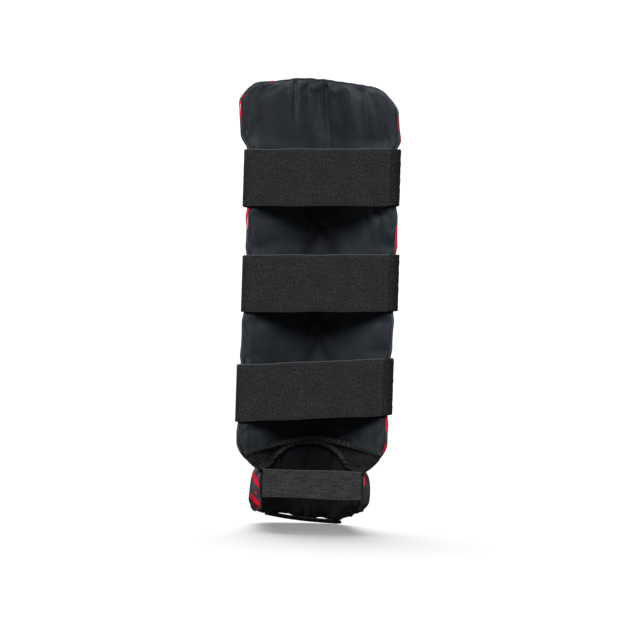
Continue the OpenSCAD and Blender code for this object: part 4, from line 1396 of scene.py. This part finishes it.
class GUARD_OT_ankle_gather(bpy.types.Operator):
    """Builds the ruched ankle band, in two strands with a gusset at each end"""

    bl_idname = "guard.ankle_gather"
    bl_label = "Ankle gather"

    def execute(self, context):
        rows, cols = 40, 330
        s, t = np.meshgrid(np.linspace(-1, 1, cols), np.linspace(0, 1, rows))
        # the upper edge is sewn across the lining, highest in the middle
        x = 61.0 * s
        top_z = 70.6 + 12.0 * (1 - np.abs(s) ** 1.9) + 1.4 * s + 0.5 * np.sin(7 * s + 1)
        upper = np.stack([x, CHANNEL_DEPTH * np.maximum(0, 1 - s**2) ** 1.2 - 1.0, top_z], -1)
        # the lower edge covers the instep's rim, lower at the sides than the rim itself
        lower_angle = s * 80.0
        sides = hump(np.abs(lower_angle), 54, 18)
        crown = hump(lower_angle, 0, 40)
        lower_along = rear_along(lower_angle) - 1.5 + 4.5 * sides - 3.0 * crown
        lower = instep_at(lower_along, lower_angle, 0.5 - 1.8 * sides)
        mid = lower + (upper - lower) * (1 - t)[..., None]
        # at both ends the cloth bulges back and out over the pad's lower corners
        belly = np.sin(math.pi * np.clip(t * 1.08, 0, 1)) * smooth((np.abs(s) - 0.5) / 0.45)
        mid = mid + belly[..., None] * np.stack([np.sign(s) * 1.6, -7.5 + 0 * s, -1.2 + 0 * s], -1)
        ruffle = context.scene.guard_sizes.ruffle * 1000
        span = np.linalg.norm(upper - lower, axis=-1)
        # strands of elastic swell near both edges; the cloth between them sinks in
        narrow = np.clip(8.0 / span, 0.22, 0.6)
        strands = hump(t, narrow * 0.45, narrow * 0.34) + hump(t, 1 - narrow * 0.45, narrow * 0.34)
        along = s * 74
        wander = 1.9 * np.sin(along / 9.0) + 1.2 * np.sin(along / 4.3 + 1) + 0.8 * np.sin(along / 2.1 + 5 * t)
        uneven = 0.65 + 0.35 * np.sin(along / 3.3 + 2.2 * np.sin(along / 7.7) + 4 * t)
        fold = np.sin((along + wander + 1.3 * np.sin(t * 5 + along / 7)) * 2 * math.pi / 3.2) * uneven
        fold = fold + 0.6 * np.sin((along * 1.31 + 2 * np.sin(t * 4 + along / 5)) * 2 * math.pi / 2.1)
        # towards the ends the folds turn and run along the band
        side = smooth((np.abs(s) - 0.42) / 0.25)
        away = np.abs(along)
        level = t * span / 3.6 - away / 23
        level = level + 0.22 * np.sin(away / 7.1 + 2 * t) + 0.1 * np.sin(along / 3.1 + 5 * t)
        level_folds = np.sin(2 * math.pi * level) + 0.5 * np.sin(2 * math.pi * (1.83 * level + away / 17))
        level_folds = level_folds * (0.7 + 0.3 * np.sin(along / 4.1 + 9 * t))
        fold = fold * (1 - 0.92 * side) + side * 0.8 * level_folds
        # the folds rise from the band along its normal, turned a little backwards
        du, dv = np.gradient(mid, axis=1), np.gradient(mid, axis=0)
        normal = unit(np.cross(dv, du))
        back = np.array([0.0, -1.0, -0.25]) / math.hypot(1, 0.25)
        normal = unit(np.where((normal @ back)[..., None] < 0, -normal, normal) + 0.6 * back)
        # the folds and the lean die out at both ends, which are sewn into the pads
        hide = smooth((1 - np.abs(s)) / 0.03)
        high = 3.0 * strands - 1.0 + ruffle * 0.5 * fold * (0.35 + 0.6 * side + 0.65 * strands) * hide
        points = mid + normal * high[..., None]
        bobbing = np.sin(along * 2 * math.pi / 4.7 + 2 * np.sin(along / 11))
        points[..., 2] += 0.5 * bobbing * (0.3 + np.abs(t - 0.5))
        points = lean(points) * hide[..., None] + points * (1 - hide[..., None])
        faces = grid_faces(rows, cols)
        uv = np.stack([along, t * 12], -1).reshape(-1, 2) / 1000
        # painted light and shade from the folds' shape: fold crests and the elastic strands lighter, folds
        # and both ends of the band darker
        painted_fold_light = np.clip((0.34 + 0.3 * side) * fold + 0.5 * strands + 0.1 - 0.65 * side, -0.6, 1.2)
        band = make_mesh("ankle_ruching", points.reshape(-1, 3), faces, uv, painted_fold_light.ravel())
        clothe(band, "gather")
        thicken(band, 0.0009, 0)
        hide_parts("ankle_gather", "ankle_elastic")
        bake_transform(band)
        return {"FINISHED"}


# ---- stage ----------------------------------------------------------------------------------


# the camera stands 2.2 m behind the straps, where its view is 557 mm wide, rolled by 1.8 degrees
VIEW_DISTANCE, VIEW_WIDTH, VIEW_ROLL = 2200.0, 556.8, 1.8
VIEW_X, VIEW_Z = 2.175, 187.4


def lamp(name, strength, spread, direction):
    """A sun lamp of the given soft angle that shines along a direction."""
    data = bpy.data.lights.new(name, "SUN")
    data.energy = strength
    data.angle = math.radians(spread)
    obj = bpy.data.objects.new(name, data)
    back = -unit(np.array(direction, float))
    side = unit(np.cross([0.0, 1.0, 0.01], back))
    up = np.cross(back, side)
    obj.matrix_world = Matrix(np.stack([side, up, back], -1).tolist()).to_4x4()
    bpy.context.scene.collection.objects.link(obj)
    return obj


class GUARD_OT_stage(bpy.types.Operator):
    """Makes the pale floor, the soft studio light and the camera behind the guard"""

    bl_idname = "guard.stage"
    bl_label = "Stage"

    def execute(self, context):
        scene = context.scene
        far, low = 12.0, -0.0004
        corners = [(-far, -far, low), (far, -far, low), (far, far, low), (-far, far, low)]
        mesh = bpy.data.meshes.new("floor")
        mesh.from_pydata(corners, [], [(0, 1, 2, 3)])
        floor = bpy.data.objects.new("floor", mesh)
        scene.collection.objects.link(floor)
        paper, tree, shader = new_material("matt_white_paper")
        wire(tree, shader, {
            "Base Color": grey(0.69),
            "Roughness": 0.9,
            "Specular IOR Level": 0.0,
            "Emission Color": grey(1.0),
            "Emission Strength": 0.27,
        })
        mesh.materials.append(paper)
        # the paper's bounce is left to the world's soft light
        floor.visible_diffuse = floor.visible_glossy = False

        world = bpy.data.worlds.new("studio")
        scene.world = world
        world.use_nodes = True
        tree = world.node_tree
        tree.nodes.clear()
        # soft light that grows from below to above, and plain white where the sky itself is seen
        seen = add(tree, "ShaderNodeLightPath", out="Is Camera Ray")
        aim = add(tree, "ShaderNodeTexCoord", out="Generated")
        height = add(tree, "ShaderNodeSeparateXYZ", {0: aim}, out="Z")
        sky = add(tree, "ShaderNodeMapRange", {0: height, 1: -0.1, 2: 0.3, 3: 0.05, 4: 0.26})
        soft = add(tree, "ShaderNodeBackground", {"Color": (1, 1, 1, 1), "Strength": sky})
        plain = add(tree, "ShaderNodeBackground", {"Color": (1, 1, 1, 1), "Strength": 1.2})
        both = add(tree, "ShaderNodeMixShader", {0: seen, 1: soft, 2: plain})
        add(tree, "ShaderNodeOutputWorld", {"Surface": both})
        lamp("overhead", 3.35, 76, (0.2, -0.44, -1.0))
        key = lamp("key", 3.4, 28, (0.10, 0.8, -0.58))
        # the key lamp leaves the paper alone, so that only the overhead's shadow lies on it
        bare = bpy.data.collections.new("not_lit_by_key")
        bare.objects.link(floor)
        key.light_linking.receiver_collection = bare
        bare.collection_objects[0].light_linking.link_state = "EXCLUDE"

        camera = bpy.data.objects.new("camera", bpy.data.cameras.new("camera"))
        camera.data.sensor_width = 36
        camera.data.lens = 36 * VIEW_DISTANCE / VIEW_WIDTH
        camera.data.clip_end = 50
        upright = Matrix.Rotation(math.pi / 2, 4, "X")
        base = upright @ Matrix.Rotation(math.radians(VIEW_ROLL), 4, "Z")
        base.translation = (VIEW_X / 1000, (TO_ROW[1] - VIEW_DISTANCE) / 1000, VIEW_Z / 1000)
        camera.matrix_world = base
        scene.collection.objects.link(camera)
        scene.camera = camera
        scene.view_settings.view_transform = "Standard"
        return {"FINISHED"}


# ---- the add-on -----------------------------------------------------------------------------

PIECES = (
    GUARD_OT_shin_pad, GUARD_OT_shin_bolsters, GUARD_OT_leg_straps, GUARD_OT_instep_pad,
    GUARD_OT_sole_strap, GUARD_OT_ankle_gather, GUARD_OT_stage,
)


class GUARD_PT_panel(bpy.types.Panel):
    """Lists the guard's sizes, colours and pieces"""

    bl_idname = "GUARD_PT_panel"
    bl_label = "Shin and instep guard"
    bl_space_type = "VIEW_3D"
    bl_region_type = "UI"
    bl_category = "Guard"

    def draw(self, context):
        for group in (context.scene.guard_sizes, context.scene.guard_colours):
            for name in group.__annotations__:
                self.layout.prop(group, name)
        for piece in PIECES:
            self.layout.operator(piece.bl_idname)


CLASSES = (GuardSizes, GuardColours, *PIECES, GUARD_PT_panel)


def register():
    for cls in CLASSES:
        bpy.utils.register_class(cls)
    bpy.types.Scene.guard_sizes = bpy.props.PointerProperty(type=GuardSizes)
    bpy.types.Scene.guard_colours = bpy.props.PointerProperty(type=GuardColours)


def unregister():
    del bpy.types.Scene.guard_sizes
    del bpy.types.Scene.guard_colours
    for cls in reversed(CLASSES):
        bpy.utils.unregister_class(cls)


def main():
    register()
    for piece in PIECES:
        group, name = piece.bl_idname.split(".")
        getattr(getattr(bpy.ops, group), name)()


if __name__ == "__main__":
    main()
